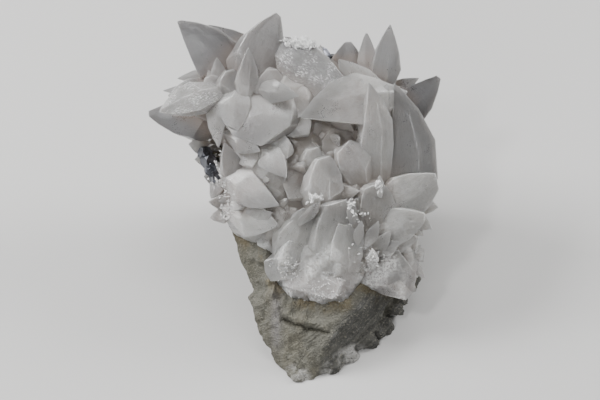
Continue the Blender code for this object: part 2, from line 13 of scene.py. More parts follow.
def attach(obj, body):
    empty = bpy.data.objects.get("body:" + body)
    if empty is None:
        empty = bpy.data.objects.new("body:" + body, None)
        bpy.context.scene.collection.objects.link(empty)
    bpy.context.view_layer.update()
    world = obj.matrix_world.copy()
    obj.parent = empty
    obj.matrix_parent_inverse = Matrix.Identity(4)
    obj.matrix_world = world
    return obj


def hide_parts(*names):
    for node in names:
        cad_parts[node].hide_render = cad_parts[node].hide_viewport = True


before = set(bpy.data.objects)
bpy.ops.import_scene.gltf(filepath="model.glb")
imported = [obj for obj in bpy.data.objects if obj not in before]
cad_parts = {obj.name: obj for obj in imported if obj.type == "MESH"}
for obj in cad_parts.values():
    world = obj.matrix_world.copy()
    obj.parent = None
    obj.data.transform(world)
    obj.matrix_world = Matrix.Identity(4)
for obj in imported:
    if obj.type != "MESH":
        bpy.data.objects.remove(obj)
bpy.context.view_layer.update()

# The rock is a wedge of hard, banded, grey-beige limestone that broke out of the wall of a vein. It lies on
# its flat underside, and the slope that the crystals grew on leans back, half facing the sky.
MM = 0.001
SHOW_FACE_LOOKS_UP = math.radians(50)
FRONT_POINT = Vector((-0.17, -49.53, -0.9))


def on_face(across, up, out):
    """A place on the crystal slope, in millimetres of the whole specimen's frame."""
    sine, cosine = math.sin(SHOW_FACE_LOOKS_UP), math.cos(SHOW_FACE_LOOKS_UP)
    return Vector((across, up * sine - out * cosine, up * cosine + out * sine)) + FRONT_POINT


def along_face(across, up, out):
    """A direction given on the crystal slope, with length one."""
    return (on_face(across, up, out) - on_face(0, 0, 0)).normalized()


UP_THE_SLOPE = along_face(0, 1, 0)
TOWARDS_VIEWER = along_face(0, 0, 1)
ACROSS_UP_OUT = np.array([along_face(1, 0, 0), UP_THE_SLOPE, TOWARDS_VIEWER]).T


def off_face(place):
    """How far a place is across, up and out of the slope, counted from the front point."""
    return place.x, place.dot(UP_THE_SLOPE), place.dot(TOWARDS_VIEWER)


def cleave(shape, point, normal):
    """Breaks off all that lies beyond a plane, and closes the break with a flat face."""
    everything = shape.verts[:] + shape.edges[:] + shape.faces[:]
    cut = bmesh.ops.bisect_plane(
        shape, geom=everything, plane_co=point, plane_no=normal, clear_outer=True, dist=1e-5
    )
    rim = [e for e in cut["geom_cut"] if isinstance(e, bmesh.types.BMEdge)]
    if rim:
        bmesh.ops.contextual_create(shape, geom=rim)


def bevel(shape, edges, offset):
    """Takes edges off with one narrow face each, and gives the new faces."""
    return bmesh.ops.bevel(
        shape, geom=edges, offset=offset, segments=1, profile=0.5, affect="EDGES", material=-1,
        clamp_overlap=True,
    )["faces"]


def gore_of(place):
    """The number of the corner, of six round the axis, that a vertex of a ball stands on."""
    return math.floor(math.degrees(math.atan2(place.y, place.x)) / 60 + 0.25)


def object_of(name, shape):
    """An object in metres from a shape in millimetres."""
    bmesh.ops.scale(shape, vec=(MM, MM, MM), verts=shape.verts)
    mesh = bpy.data.meshes.new(name)
    shape.to_mesh(mesh)
    shape.free()
    made = bpy.data.objects.new(name, mesh)
    bpy.context.scene.collection.objects.link(made)
    return made


def shape_of(made):
    """The shape in millimetres of an object with its modifiers, which is then taken away."""
    bpy.context.view_layer.update()
    mesh = bpy.data.meshes.new_from_object(made.evaluated_get(bpy.context.evaluated_depsgraph_get()))
    shape = bmesh.new()
    shape.from_mesh(mesh)
    bpy.data.meshes.remove(mesh)
    bpy.data.objects.remove(made)
    bmesh.ops.scale(shape, vec=(1 / MM,) * 3, verts=shape.verts)
    return shape


def remeshed(made, grain):
    """The shape in millimetres of an object made anew as one skin of small, even faces."""
    grid = made.modifiers.new("one skin", "REMESH")
    grid.mode = "VOXEL"
    grid.voxel_size = grain * MM
    return shape_of(made)


def displace(shape, move_of):
    """Moves all the vertices at once, each by what a function gives for it."""
    shape.normal_update()
    moves = [(vert, move_of(vert)) for vert in shape.verts]
    for vert, move in moves:
        vert.co += move


def soften_corners(made, degrees):
    """Smooth shading, with every edge sharper than an angle left crisp."""
    made.data.shade_smooth()
    made.data.set_sharp_from_angle(angle=math.radians(degrees))


def give(mesh, name, values, domain="POINT"):
    """Stores one number for each vertex or face, for the materials to read."""
    layer = mesh.attributes.new(name, "FLOAT", domain)
    layer.data.foreach_set("value", np.asarray(values, dtype=np.float32))


def ramp(low, high, value):
    """0 at low, 1 at high, and a straight rise between."""
    return min(max((value - low) / (high - low), 0), 1)


def smoothstep(low, high, values):
    """0 at low, 1 at high, and a smooth rise between."""
    t = np.clip((np.asarray(values) - low) / (high - low), 0, 1)
    return t * t * (3 - 2 * t)


ROCK_BREAKS = {
    "front": ((3, 5, 1.0), (-0.22, -0.20, 0.955)),
    "toe": ((1.3, 0, 0), (0.32, -0.563, 0.76)),
    "dark": ((27, 31, 2), (0.671, -0.438, 0.598)),
    "dark back": ((36, 25, -21), (0.832, -0.393, 0.395)),
    "flank": ((-4.5, 18, 2), (-0.6875, -0.2375, 0.6875)),
    "left": ((-11.6, 20, -5), (-0.915, -0.392, -0.1)),
    "right": ((37, 25, -21), (0.962, -0.05, -0.27)),
    "slope": ((0, 23, 4), (0.0, 0.25, 0.97)),
    "right slope": ((34, 60, -8), (0.55, 0.10, 0.83)),
    "left slope": ((-24, 70, -3), (-0.50, 0.12, 0.86)),
    "back": ((0, 60, -48.5), (0.04, 0.594, -0.805)),
    "left back": ((-24, 60, -34), (-0.66, 0.32, -0.68)),
    "right back": ((32, 60, -38), (0.60, 0.35, -0.72)),
    "top": ((0, 99, -18), (0.05, 0.97, 0.25)),
}
ROCK_LUMPS = (
    ((1.2, 2.2, -0.9), 2.4),
    ((13.2, 5.6, -2.6), 3.0),
    ((16.6, 8.0, -3.4), 2.4),
    ((19.4, 8.4, -5.6), 3.2),
    ((24.5, 13.6, -8.5), 3.0),
    ((28.0, 17.2, -10.8), 2.6),
    ((30.2, 18.8, -13.2), 3.2),
    ((34.6, 24.0, -14.6), 2.8),
    ((36.2, 28.4, -16.5), 3.8),
    ((38.0, 34.0, -14.0), 4.8),
    ((-12.6, 48.0, -4.6), 6.0),
    ((-10.8, 42.0, -3.6), 5.6),
    ((-8.8, 36.0, -2.4), 5.2),
    ((-7.0, 30.5, -1.6), 4.6),
    ((-10.4, 26.2, -3.0), 2.8),
    ((-10.0, 22.6, -4.0), 2.6),
    ((-27.0, 70.0, -8.5), 3.6),
    ((-31.0, 76.5, -8.5), 2.4),
)
ROCK_GRAIN = 0.62
ROCK_CORNER = 48
BANDING = along_face(-0.60, 0.66, 0.45)
BAND_PITCH = 4.6


def cleaved_block(depth=0.0):
    """A block broken along the planes above, each one moved in by a depth."""
    block = bmesh.new()
    bmesh.ops.create_cube(block, size=260)
    bmesh.ops.translate(block, vec=on_face(0, 60, -20), verts=block.verts)
    for point, normal in ROCK_BREAKS.values():
        away = along_face(*normal)
        cleave(block, on_face(*point) - away * depth, away)
    bmesh.ops.recalc_face_normals(block, faces=block.faces)
    return block


def crevice_at(place):
    """How deep the weathered crevice across the front is at a place, with the bed that overhangs it."""
    across, up, out = off_face(place)
    above = up - 19.6 + 0.28 * across - 1.1 * noise.noise(Vector((across / 2.6, 3.3, 0)))
    in_front = ramp(-4, -1, out) * ramp(-5, -3, across) * ramp(12.5, 9.5, across)
    return in_front * (max(0, 1 - abs(above) / 0.9) - 0.7 * max(0, 1 - abs(above - 2.4) / 2.0))


def broken_shoulder(place):
    """The left side is broken back above a knob that stands proud at the foot of the slope."""
    across, up, _ = off_face(place)
    above_knob = float(smoothstep(28, 31.5, up) * smoothstep(96, 84, up))
    return Vector((3.4 * above_knob * float(smoothstep(-5, -14, across)), 0, 0))


def weathering(place):
    """How far the broken rock stands out at a place: thin beds in steps, hackly chips and sandy grain."""
    across, up, out = off_face(place)
    bedded = max(ramp(-2, 10, across), 0.12)
    ragged = ramp(6, 16, across) * ramp(-3.5, -7.5, out)
    along = place.dot(BANDING) / BAND_PITCH + 0.5 * noise.noise(place / 13)
    within = along - math.floor(along)
    ledge = min(within / 0.8, (1 - within) / 0.2)
    fine_bed = along * 4.3 + 0.9 * noise.noise(place / 5)
    fine = fine_bed - math.floor(fine_bed)
    large = noise.fractal(place / 15, 0.9, 2.1, 3)
    small = noise.noise(place / 3.1 + Vector((7, 3, 1)))
    grain = noise.noise(Vector((across / 1.3, up / 5.5, out / 1.3)))
    chips = noise.ridged_multi_fractal(place / 3.4, 0.8, 2.3, 4, 1.0, 2.0) - 1.0
    lumps = noise.ridged_multi_fractal(place / 4.6 + Vector((2, 5, 9)), 0.6, 2.1, 3, 1.0, 2.0) - 1.0
    sand = noise.noise(place / 0.75)
    return (
        bedded * (0.45 * (ledge - 0.5) + 0.24 * (fine - 0.5))
        + 1.4 * large
        + 0.5 * small
        + (1 - bedded) * 0.45 * grain
        + (0.3 + 0.15 * ragged) * chips
        + 0.9 * ragged * lumps
        + 0.14 * sand
        - 1.5 * crevice_at(place)
    )


def weathered(vert):
    """How far weathering and the broken shoulder move a vertex of the rock."""
    place = vert.co - FRONT_POINT
    return vert.normal * weathering(place) + broken_shoulder(place)


block = cleaved_block()
cleave(block, Vector((0, 0, -4)), Vector((0, 0, -1)))
for place, radius in ROCK_LUMPS:
    bmesh.ops.create_icosphere(
        block, subdivisions=3, radius=radius, matrix=Matrix.Translation(on_face(*place))
    )
rock_shape = remeshed(object_of("rough_rock", block), ROCK_GRAIN)
displace(rock_shape, weathered)
cleave(rock_shape, Vector((0, 0, 0)), Vector((0, 0, -1)))
bmesh.ops.triangulate(rock_shape, faces=[f for f in rock_shape.faces if len(f.verts) > 4])

# The calcite grew over the slope in one crust: masses of milky spar, with hundreds of dogtooth crystals
# standing out of it. Each is a scalenohedron: six steep gores above and six below meet in a zigzag.
CALCITE_MASSES = (
    ((-17, 92, -3), (14, 11, 9)),
    ((15, 90, -4), (19, 12, 9.5)),
    ((0, 100, -7), (18, 9, 8)),
    ((9, 73, -3), (25, 20, 12)),
    ((-12, 64, -4), (13, 18, 12)),
    ((10, 44, -2), (17, 18, 11.5)),
    ((7, 29, 1), (13, 12, 7.5)),
    ((24, 38, -6), (13, 12, 11)),
    ((32, 64, -5), (11, 18, 9)),
    ((-6, 38, -1), (8, 12, 6.5)),
)
SPAR_BETWEEN = (
    ((-9, 68, 0), (15, 15, 11)),
    ((12, 62, 0), (17, 12, 11)),
    ((-2, 55, 0), (11, 9, 10)),
    ((26, 52, -2), (15, 13, 10)),
    ((33, 40, -5), (8.5, 10, 8)),
    ((5, 37, 0), (11, 10.5, 7)),
    ((12, 35, 0), (10.5, 9.5, 7)),
    ((0, 96, 0), (17, 10, 9)),
    ((15, 73, 0), (13, 9, 9.5)),
    ((23, 90, -2), (13, 12, 9)),
)
COVERED_MASSES = (CALCITE_MASSES[6], CALCITE_MASSES[7], CALCITE_MASSES[9])
CRUST_GRAIN = 1.3
CRUST_FACES_KEPT = 0.12
BED_DEPTH = 1.6
GIRDLE_ZIGZAG = 0.22
SHARP_EDGE = math.radians(20)
CRYSTAL_CORNER = 24
WHOLE_RINGS = 8
MOST_TRIES = 60000


class Crystal:
    """One dogtooth crystal between a tip and a root on the slope. Its striations follow its own frame."""

    def __init__(
        self, name, tip, root, width,
        widest=0.5, flat=0.48, turn=0, bulge=1.6, bow=0.0, blunt=0.0, rings=WHOLE_RINGS,
    ):
        tip, root = on_face(*tip), on_face(*root)
        self.name = name
        self.width = width
        self.chance = random.Random(name)
        self.worn_edges = set()
        axis = (tip - root).normalized()
        length = (tip - root).length
        side = axis.cross(TOWARDS_VIEWER)
        if side.length < 0.25:
            side = axis.cross(Vector((0.2, 0.9, 0.4)))
        side.normalize()
        self.frame = Matrix((side.cross(axis), side, axis)).transposed().to_4x4()
        self.frame.translation = tip - axis * widest * length
        self.sizes = (widest * length, (1 - widest) * length, width / 1.9, flat, bulge, bow)
        shape = bmesh.new()
        bmesh.ops.create_uvsphere(shape, u_segments=6, v_segments=rings, radius=1)
        self.draw_out(shape, turn)
        if blunt:
            slope = Vector((0.35 * math.cos(turn), 0.35 * math.sin(turn), 1)).normalized()
            cleave(shape, Vector((0, 0, widest * length - blunt)), slope)
        shape.normal_update()
        bmesh.ops.recalc_face_normals(shape, faces=shape.faces)
        if rings == WHOLE_RINGS:
            self.wear_edges(shape)
        shape.faces.index_update()
        bmesh.ops.transform(shape, matrix=self.frame, verts=shape.verts)
        self.shape = shape

    def draw_out(self, shape, turn):
        """Pulls a ball of six gores out into two steep ends, which swell like a leaf and bow to one side."""
        to_tip, to_root, radius, flat, bulge, bow = self.sizes
        for v in shape.verts:
            down = math.acos(max(-1, min(1, v.co.z))) / math.pi * 2
            gore = gore_of(v.co)
            along = math.sin(abs(1 - down) * math.pi / 2)
            if down <= 1:
                reach = radius * (1 - along**bulge)
                shift = bow * radius * (along - along**bulge)
                height = to_tip * along
            else:
                reach = radius * (1 - along**1.2)
                shift = 0
                height = -to_root * along
            side = 1 if gore % 2 else -1
            height += radius * GIRDLE_ZIGZAG * side * (1 - along)
            reach *= 1 + 0.07 * side
            angle = math.radians(60 * gore + turn)
            v.co = Vector((math.cos(angle) * flat * reach, math.sin(angle) * reach + shift, height))

    def holds(self, place):
        """Whether a place lies inside this crystal."""
        to_tip, to_root, radius, flat, bulge, bow = self.sizes
        x, y, z = self.frame.inverted() @ place
        along = min(z / to_tip if z > 0 else -z / to_root, 1)
        reach = radius * (1 - along ** (bulge if z > 0 else 1.2))
        return (x / flat) ** 2 + y**2 < (0.95 * reach) ** 2

    def wear_edges(self, shape):
        """The sharp edges are worn or chipped a little, and catch the light."""
        sharp = [e for e in shape.edges if e.calc_face_angle(0) > SHARP_EDGE]
        worn = bevel(shape, sharp, min(0.17, 0.007 * self.width + 0.04))
        shape.faces.index_update()
        self.worn_edges = {face.index for face in worn}


crystals = [
    Crystal("left_horn", (-39.3, 121.3, -2), (-15, 95, -3), 18, widest=0.6, turn=14, bow=0.5, blunt=0.8),
    Crystal("split_blade", (-29, 120, -8), (-6, 104, -9), 9, turn=10, bow=-0.3),
    Crystal("crown_peak", (-4.6, 124, 3), (-19, 94, 3), 19, widest=0.62, turn=20, bow=-0.6, blunt=1.4),
    Crystal("front_leaf", (-15, 111.5, 11), (-17, 90, 6), 8, widest=0.55, turn=20, bow=0.2),
    Crystal("low_peak", (-7, 106, 8), (-11, 88, 3), 13, turn=25, blunt=1.5),
    Crystal("right_leaf", (2, 95, 17), (-14, 99, 6), 8, widest=0.55, flat=0.36, turn=15, bulge=1.3),
    Crystal(
        "sparkling_blade", (22, 93.5, 12), (-15, 116, -2), 19, widest=0.55, flat=0.5, turn=12, bulge=1.5
    ),
    Crystal("long_ridge", (15.5, 104, 1), (-12, 116, -6), 10),
    Crystal(
        "broad_face", (-5, 77.5, 15), (-13, 112, -5), 28,
        widest=0.45, flat=0.26, turn=30, bulge=2.1, blunt=4.6
    ),
    Crystal("broad_face_left", (-20, 82, 11), (-17, 104, 4), 12, turn=20, bulge=1.7, blunt=2.4, flat=0.4),
    Crystal("hanging_leaf", (-24.8, 78, 10.5), (-25.5, 100, 2), 7.5, widest=0.55, turn=10, bow=0.4),
    Crystal("bright_spindle", (-44.8, 90, 9), (-18, 99, 5), 11.5, flat=0.6, turn=25, bulge=1.9),
    Crystal("dark_horn", (-50, 90.2, -4), (-20, 86, -4), 15, widest=0.62, turn=12, bow=-0.4, blunt=1.4),
    Crystal("left_tooth", (-42.4, 95.4, 0), (-25, 102, -1), 6.5, blunt=0.6),
    Crystal("left_splinter", (-44.2, 97.6, -4), (-20, 98, -3), 6, widest=0.6),
    Crystal("left_needle", (-39.2, 101.6, -3), (-23, 103.4, -3), 5.5, widest=0.6),
    Crystal("shoulder_block", (-21, 105.5, 8), (-23, 90, 4), 10, widest=0.45, turn=30, blunt=1.5),
    Crystal("shoulder_chip", (-29, 103, 6), (-23, 92, 3), 9, blunt=1),
    Crystal("shoulder_tooth", (-25.6, 108.5, 5), (-24, 94, 3), 6),
    Crystal("shoulder_left", (-28, 88, 7), (-18, 96, 4), 11, turn=30, blunt=1.5),
    Crystal("smoky_round", (18.2, 115.4, -6), (15, 92, -5), 14, widest=0.55, turn=12, bow=0.3, blunt=1.4),
    Crystal("pale_wedge", (14.6, 107.9, 6), (31, 84, 3), 15, widest=0.55, turn=10, bow=0.3),
    Crystal("short_spire", (24.2, 117.6, -5), (24.5, 96, -4), 6.6, blunt=0.7, bow=0.3),
    Crystal("tall_spire", (32.1, 119.8, 1), (27.5, 88, 2), 10.5, turn=18, bow=-0.2, blunt=0.4),
    Crystal("right_splinter", (42, 101.9, -4), (26, 94, -3), 6),
    Crystal("right_horn", (49.4, 103.2, -3), (27, 82, -2), 14, widest=0.6, turn=12, bow=0.3, blunt=1.5),
    Crystal(
        "pillar", (24.4, 100, 15), (28.5, 38, -5), 13, widest=0.36, turn=27, bow=0.8, bulge=1.9, flat=0.5
    ),
    Crystal(
        "great_right", (33, 100, 8), (38.5, 47, -5), 21, widest=0.66, flat=0.5, turn=26, bow=0.9, bulge=1.9
    ),
    Crystal("behind_pillar", (30.8, 99.5, 9), (25, 84, 6), 8),
    Crystal("right_fan_upper", (50, 69.5, 6), (20, 54, 3), 17, turn=15, blunt=3.2),
    Crystal("right_fan_lower", (45, 56, 9), (18, 50, 3), 14, turn=20, blunt=1.8),
    Crystal("right_fan_small", (41.8, 48.5, 4), (20, 46, 1), 10, turn=10),
    Crystal(
        "pink_column", (25.5, 70, 14), (26.5, 36, -2), 14,
        widest=0.35, turn=30, bulge=1.7, blunt=4.2, flat=0.4
    ),
    Crystal("pink_column_side", (20.5, 63, 13), (22, 38, 0), 7, widest=0.4, turn=30, bulge=1.7, blunt=1.6),
    Crystal(
        "lower_right_lump", (41.4, 41, 0), (18, 34, 0), 21, widest=0.42, turn=30, bulge=2, blunt=3.4, flat=0.5
    ),
    Crystal(
        "lower_right_shelf", (41.5, 34, -5), (24, 46, -2), 13,
        widest=0.42, turn=14, bulge=2, blunt=2.2, flat=0.6
    ),
    Crystal("centre_block", (14, 65, 16), (10, 24, -2), 20, flat=0.28, turn=30, bulge=2.2, blunt=5),
    Crystal("centre_block_left", (6, 61, 14), (4, 26, -4), 10, widest=0.35, turn=24, bulge=1.8, blunt=3),
    Crystal("centre_block_right", (16, 56, 14), (17, 22, -4), 12, widest=0.4, turn=20, bulge=1.8, blunt=3),
    Crystal("comb_a", (8.5, 60.5, 17), (-1, 50, 8), 4, widest=0.4, turn=30, bulge=1.7),
    Crystal("comb_b", (6.5, 59, 16.5), (-2.5, 49, 8), 3.4, widest=0.4, turn=30, bulge=1.7),
    Crystal("comb_c", (3.6, 58.5, 15.5), (-3, 51, 8), 3.4, widest=0.4, turn=30, bulge=1.7),
    Crystal("lower_leaf", (-4.6, 59, 14.5), (-26, 72, 5), 12.5, widest=0.55, turn=18, bow=0.5, bulge=1.5),
    Crystal("upright_leaf", (-23, 80, 12), (-18.5, 62, 4), 8, turn=20),
    Crystal("frosted_leaf", (-2.4, 68, 15.5), (-13, 84, 4), 10, turn=20, bow=-0.4),
    Crystal("pink_chip", (0.6, 76, 14), (-12, 82, 3), 11, turn=12, blunt=2.5),
    Crystal("round_tooth", (10, 78, 15), (7, 50, 7), 14, turn=30, bulge=1.9, blunt=3, flat=0.45),
    Crystal("hollow_chip", (6.5, 80.5, 12), (3.5, 63, 5), 10, turn=30, bulge=1.7, blunt=2.5, flat=0.5),
    Crystal(
        "hollow_wall", (15, 81.5, 12.5), (24.5, 60, 5), 15, widest=0.45, turn=30, bulge=1.7, blunt=3, flat=0.4
    ),
    Crystal(
        "hollow_left", (4.5, 80.5, 11.5), (-3, 96, 4), 12, widest=0.45, turn=20, bulge=1.7, blunt=2, flat=0.4
    ),
    Crystal("hollow_roof", (1.6, 88, 16), (38, 97, 5), 19, widest=0.62, flat=0.36, turn=14, bow=0.7),
    Crystal("saddle", (4, 86.5, 12), (-4, 106, 2), 15, flat=0.3, turn=30, bulge=1.9, blunt=3),
    Crystal("hollow_floor", (9.5, 85, 8), (20, 67, 3), 15, turn=30, bulge=1.7, blunt=2.5, flat=0.4),
    Crystal("flat_chip", (-5, 62, 12.5), (12, 70, 4), 13, turn=28, blunt=3, flat=0.36),
    Crystal("low_left_leaf", (-11, 77, 13), (-24, 84, 5), 8, turn=10),
    Crystal("dark_facet", (-15, 70, 11), (-14, 84, 3), 10, turn=26, blunt=2),
    Crystal("left_swell", (-5, 52.5, 12), (-25, 59, 2), 13, turn=15, bulge=1.5),
    Crystal("left_blue", (-7, 57, 12.5), (-22, 52, 3), 9, turn=15, bulge=1.5),
    Crystal("pink_slope", (4, 57, 13), (-7, 40, 2), 12, turn=28, bulge=1.7, blunt=3),
    Crystal("striped_slope", (0.5, 50, 10.5), (-4, 32, 1), 11, turn=28, bulge=1.7, blunt=3),
    Crystal("left_flank_a", (-25.5, 72, 6), (-12, 62, 0), 9, bulge=1.5),
    Crystal("left_flank_b", (-15, 52, 6), (-3, 56, 1), 10, turn=30, bulge=1.5),
    Crystal("left_flank_c", (-20.5, 56, 5), (-8, 56, 0), 9, turn=10, bulge=1.5),
    Crystal("left_flank_d", (-5.5, 37, 7), (4, 46, 1), 9, bulge=1.5, blunt=1),
    Crystal("left_low_tooth", (-21, 62, 8), (-7, 52, 2), 10, turn=30, bulge=1.5),
    Crystal("toe_left", (-4, 29.5, 4.5), (2, 50, 2), 16, turn=30, bulge=1.9, blunt=5, flat=0.4),
    Crystal("toe_middle", (7, 23.5, 5.5), (10, 48, 3), 23, turn=28, bulge=1.9, blunt=6.5, flat=0.36),
    Crystal("toe_right", (17, 31.5, 3), (15.5, 50, 1), 16, turn=34, bulge=1.9, blunt=5, flat=0.4),
    Crystal("bright_tooth_right", (28, 69.2, 19), (28.6, 60, 10), 3.2, widest=0.4),
    Crystal("bright_tooth_middle", (18.7, 61.6, 18.5), (19.6, 50, 10), 3.6, widest=0.4),
    Crystal("bright_tooth_left", (7, 63.6, 18.5), (7.6, 55, 11), 3.4, widest=0.4),
    Crystal("bright_tooth_low", (26, 45, 11.5), (26, 36, 1), 4.4, widest=0.4),
    Crystal("leaf_a", (22.4, 54.4, 15), (20, 44, 8), 3.6),
    Crystal("leaf_b", (28, 54.2, 15), (23, 44, 7), 4.4),
    Crystal("leaf_c", (32, 51, 11), (25, 41, 2), 5.4),
    Crystal("leaf_d", (35, 47.5, 9), (27, 42, 4), 5),
    Crystal("back_fan_left", (-34, 108, -16), (-12, 96, -10), 12, widest=0.6, blunt=0.8),
    Crystal("back_fan_middle", (1, 112, -21), (0, 92, -9), 12, widest=0.55, turn=20),
    Crystal("back_fan_right", (35, 106, -17), (18, 92, -8), 13, widest=0.58, blunt=1),
    Crystal("right_back_tooth", (46, 84, -12), (26, 78, -8), 12),
    Crystal("right_low_tooth", (45, 61, -9), (24, 58, -8), 11, turn=30),
    Crystal("left_back_tooth", (-40, 84, -12), (-18, 84, -8), 11, widest=0.55, turn=30),
    Crystal("left_rim_a", (-35.4, 79.8, -4), (-24, 78, -8), 6.5, widest=0.4, flat=0.4),
    Crystal("left_rim_b", (-33.4, 74.6, -5), (-23, 74, -9), 6, widest=0.4, turn=20),
    Crystal("left_rim_c", (-30.4, 69.0, -5), (-21, 68, -9), 6, widest=0.4),
    Crystal("left_rim_d", (-28.2, 64.2, -4), (-19, 63, -8), 5.5, widest=0.4, turn=15),
]
large = list(crystals)


def small_crystals(count, seed, shortest, longest, apart, masses=CALCITE_MASSES):
    """Smaller crystals, evenly over the masses, with their roots inside and their points outwards."""
    pick = random.Random(seed)
    found, roots = [], []
    for _ in range(MOST_TRIES):
        if len(found) == count:
            break
        centre, half = pick.choice(masses)
        outward = Vector((pick.gauss(0, 1), pick.gauss(0, 1), pick.gauss(0.35, 1))).normalized()
        if outward.z < -0.45:
            continue
        surface = Vector([c + h * o for c, h, o in zip(centre, half, outward)])
        if any(
            sum(((s - c) / h) ** 2 for s, c, h in zip(surface, middle, halves)) < 0.85
            for middle, halves in masses
        ):
            continue
        if any((surface - other).length < apart for other in roots):
            continue
        roots.append(surface)
        lean = Vector((pick.gauss(0, 0.45), pick.gauss(0, 0.45), pick.gauss(0, 0.3)))
        heading = (Vector([o / h for o, h in zip(outward, half)]).normalized() + lean).normalized()
        length = pick.uniform(shortest, longest)
        width = length * pick.uniform(0.42, 0.66)
        proud = pick.uniform(0.36, 0.56)
        if surface.y < 38 and surface.x < 18:
            proud *= 0.6
        tip = surface + heading * length * proud
        root = tip - heading * length
        turn = pick.uniform(0, 60)
        found.append(dict(tip=tip, root=root, width=width, turn=turn, flat=pick.uniform(0.55, 0.85)))
    return found


def in_bare_spar(tip):
    """Whether a tip is low on the slope, where the spar is massive and no small crystals stand."""
    return tip.y < 52 and -34 < tip.x < 39 and tip.z > -8


for kind, rings, bulge, choice in (
    ("small", 4, 1.5, small_crystals(170, 11, 9, 16, 4.6)),
    ("tiny", 2, 1.0, small_crystals(150, 23, 4, 8, 3.4)),
    ("between", 4, 1.6, small_crystals(190, 31, 4.5, 9.5, 2.6, SPAR_BETWEEN)),
):
    for number, sizes in enumerate(choice):
        near_tip = on_face(*sizes["tip"].lerp(sizes["root"], 0.3))
        if in_bare_spar(sizes["tip"]) or any(crystal.holds(near_tip) for crystal in large):
            continue
        crystals.append(Crystal(f"{kind}_{number}", rings=rings, bulge=bulge, **sizes))

masses = bmesh.new()
for centre, half in [mass for mass in CALCITE_MASSES + SPAR_BETWEEN if mass not in COVERED_MASSES]:
    new = bmesh.ops.create_icosphere(masses, subdivisions=3, radius=1)["verts"]
    bmesh.ops.scale(masses, vec=half, verts=new)
    bmesh.ops.rotate(masses, matrix=Matrix.Rotation(math.pi / 2 - SHOW_FACE_LOOKS_UP, 3, "X"), verts=new)
    bmesh.ops.translate(masses, vec=on_face(*centre), verts=new)
crust_shape = remeshed(object_of("crust", masses), CRUST_GRAIN)
displace(crust_shape, lambda v: v.normal * (1.1 * noise.noise(v.co / 4.2) + 0.5 * noise.noise(v.co / 1.9)))
crust = object_of("crust", crust_shape)
broken = crust.modifiers.new("broken in facets", "DECIMATE")
broken.ratio = CRUST_FACES_KEPT

growing = bpy.data.collections.new("growing")
bpy.context.scene.collection.children.link(growing)
helpers = []
for crystal in crystals:
    helper = object_of(crystal.name, crystal.shape.copy())
    bpy.context.scene.collection.objects.unlink(helper)
    growing.objects.link(helper)
    helpers.append(helper)
union = crust.modifiers.new("grown together", "BOOLEAN")
union.operation = "UNION"
union.solver = "MANIFOLD"
union.operand_type = "COLLECTION"
union.collection = growing
bed = object_of("bed", cleaved_block(BED_DEPTH))
helpers.append(bed)
seat = crust.modifiers.new("seat", "BOOLEAN")
seat.operation = "DIFFERENCE"
seat.solver = "MANIFOLD"
seat.object = bed
calcite_shape = shape_of(crust)
for helper in helpers:
    bpy.data.objects.remove(helper)


def keep_largest_body(shape):
    """Drops the root ends and inner hollows that lie apart from the outside of the main body."""
    unseen = set(shape.faces)
    skins = []
    while unseen:
        front = [unseen.pop()]
        skin = set(front)
        while front:
            for edge in front.pop().edges:
                for face in edge.link_faces:
                    if face in unseen:
                        unseen.discard(face)
                        skin.add(face)
                        front.append(face)
        skins.append(skin)
    largest = max(skins, key=len)
    bmesh.ops.delete(shape, geom=[face for face in shape.faces if face not in largest], context="FACES")


bmesh.ops.triangulate(calcite_shape, faces=calcite_shape.faces)
keep_largest_body(calcite_shape)


SAME_FACE = 0.08
FACET_SIZE = 2.6
FINE_FACET = 1.0
ETCHED = ("sparkling_blade", "bright_spindle", "long_ridge", "left_tooth")


def owners_of(shape):
    """Marks each face with the crystal that it belongs to, or -1 in the massive spar, and each worn edge."""
    points, faces, owner, worn = [], [], [], []
    for number, crystal in enumerate(crystals):
        start = len(points)
        points += [v.co.copy() for v in crystal.shape.verts]
        for face in crystal.shape.faces:
            faces.append([start + v.index for v in face.verts])
            owner.append(number)
            worn.append(face.index in crystal.worn_edges)
    tree = BVHTree.FromPolygons(points, faces)
    shape.faces.layers.int.new("whose")
    shape.faces.layers.int.new("worn")
    whose, edge = shape.faces.layers.int["whose"], shape.faces.layers.int["worn"]
    for face in shape.faces:
        _, _, nearest, distance = tree.find_nearest(face.calc_center_median())
        found = distance < SAME_FACE
        face[whose] = owner[nearest] if found else -1
        face[edge] = 1 if found and worn[nearest] else 0
    return whose, edge


def low_spar(place):
    """How far a place is in the massive spar at the foot of the slope, from 0 to 1."""
    across, up = place.x - FRONT_POINT.x, (place - FRONT_POINT).dot(UP_THE_SLOPE)
    return ramp(50, 45, up) * ramp(40, 36, across)


def divide_long_edges(shape, whose):
    """Divides long edges, so that the surface can carry fine relief and what changes over it."""
    names = [crystal.name for crystal in crystals]
    for _ in range(4):
        long_edges = []
        for edge in shape.edges:
            owner = edge.link_faces[0][whose]
            fine = names[owner] in ETCHED if owner >= 0 else low_spar(edge.verts[0].co) > 0.3
            if edge.calc_length() > (FINE_FACET if fine else FACET_SIZE):
                long_edges.append(edge)
        bmesh.ops.subdivide_edges(shape, edges=long_edges, cuts=1)
        bmesh.ops.triangulate(shape, faces=[f for f in shape.faces if len(f.verts) > 3])


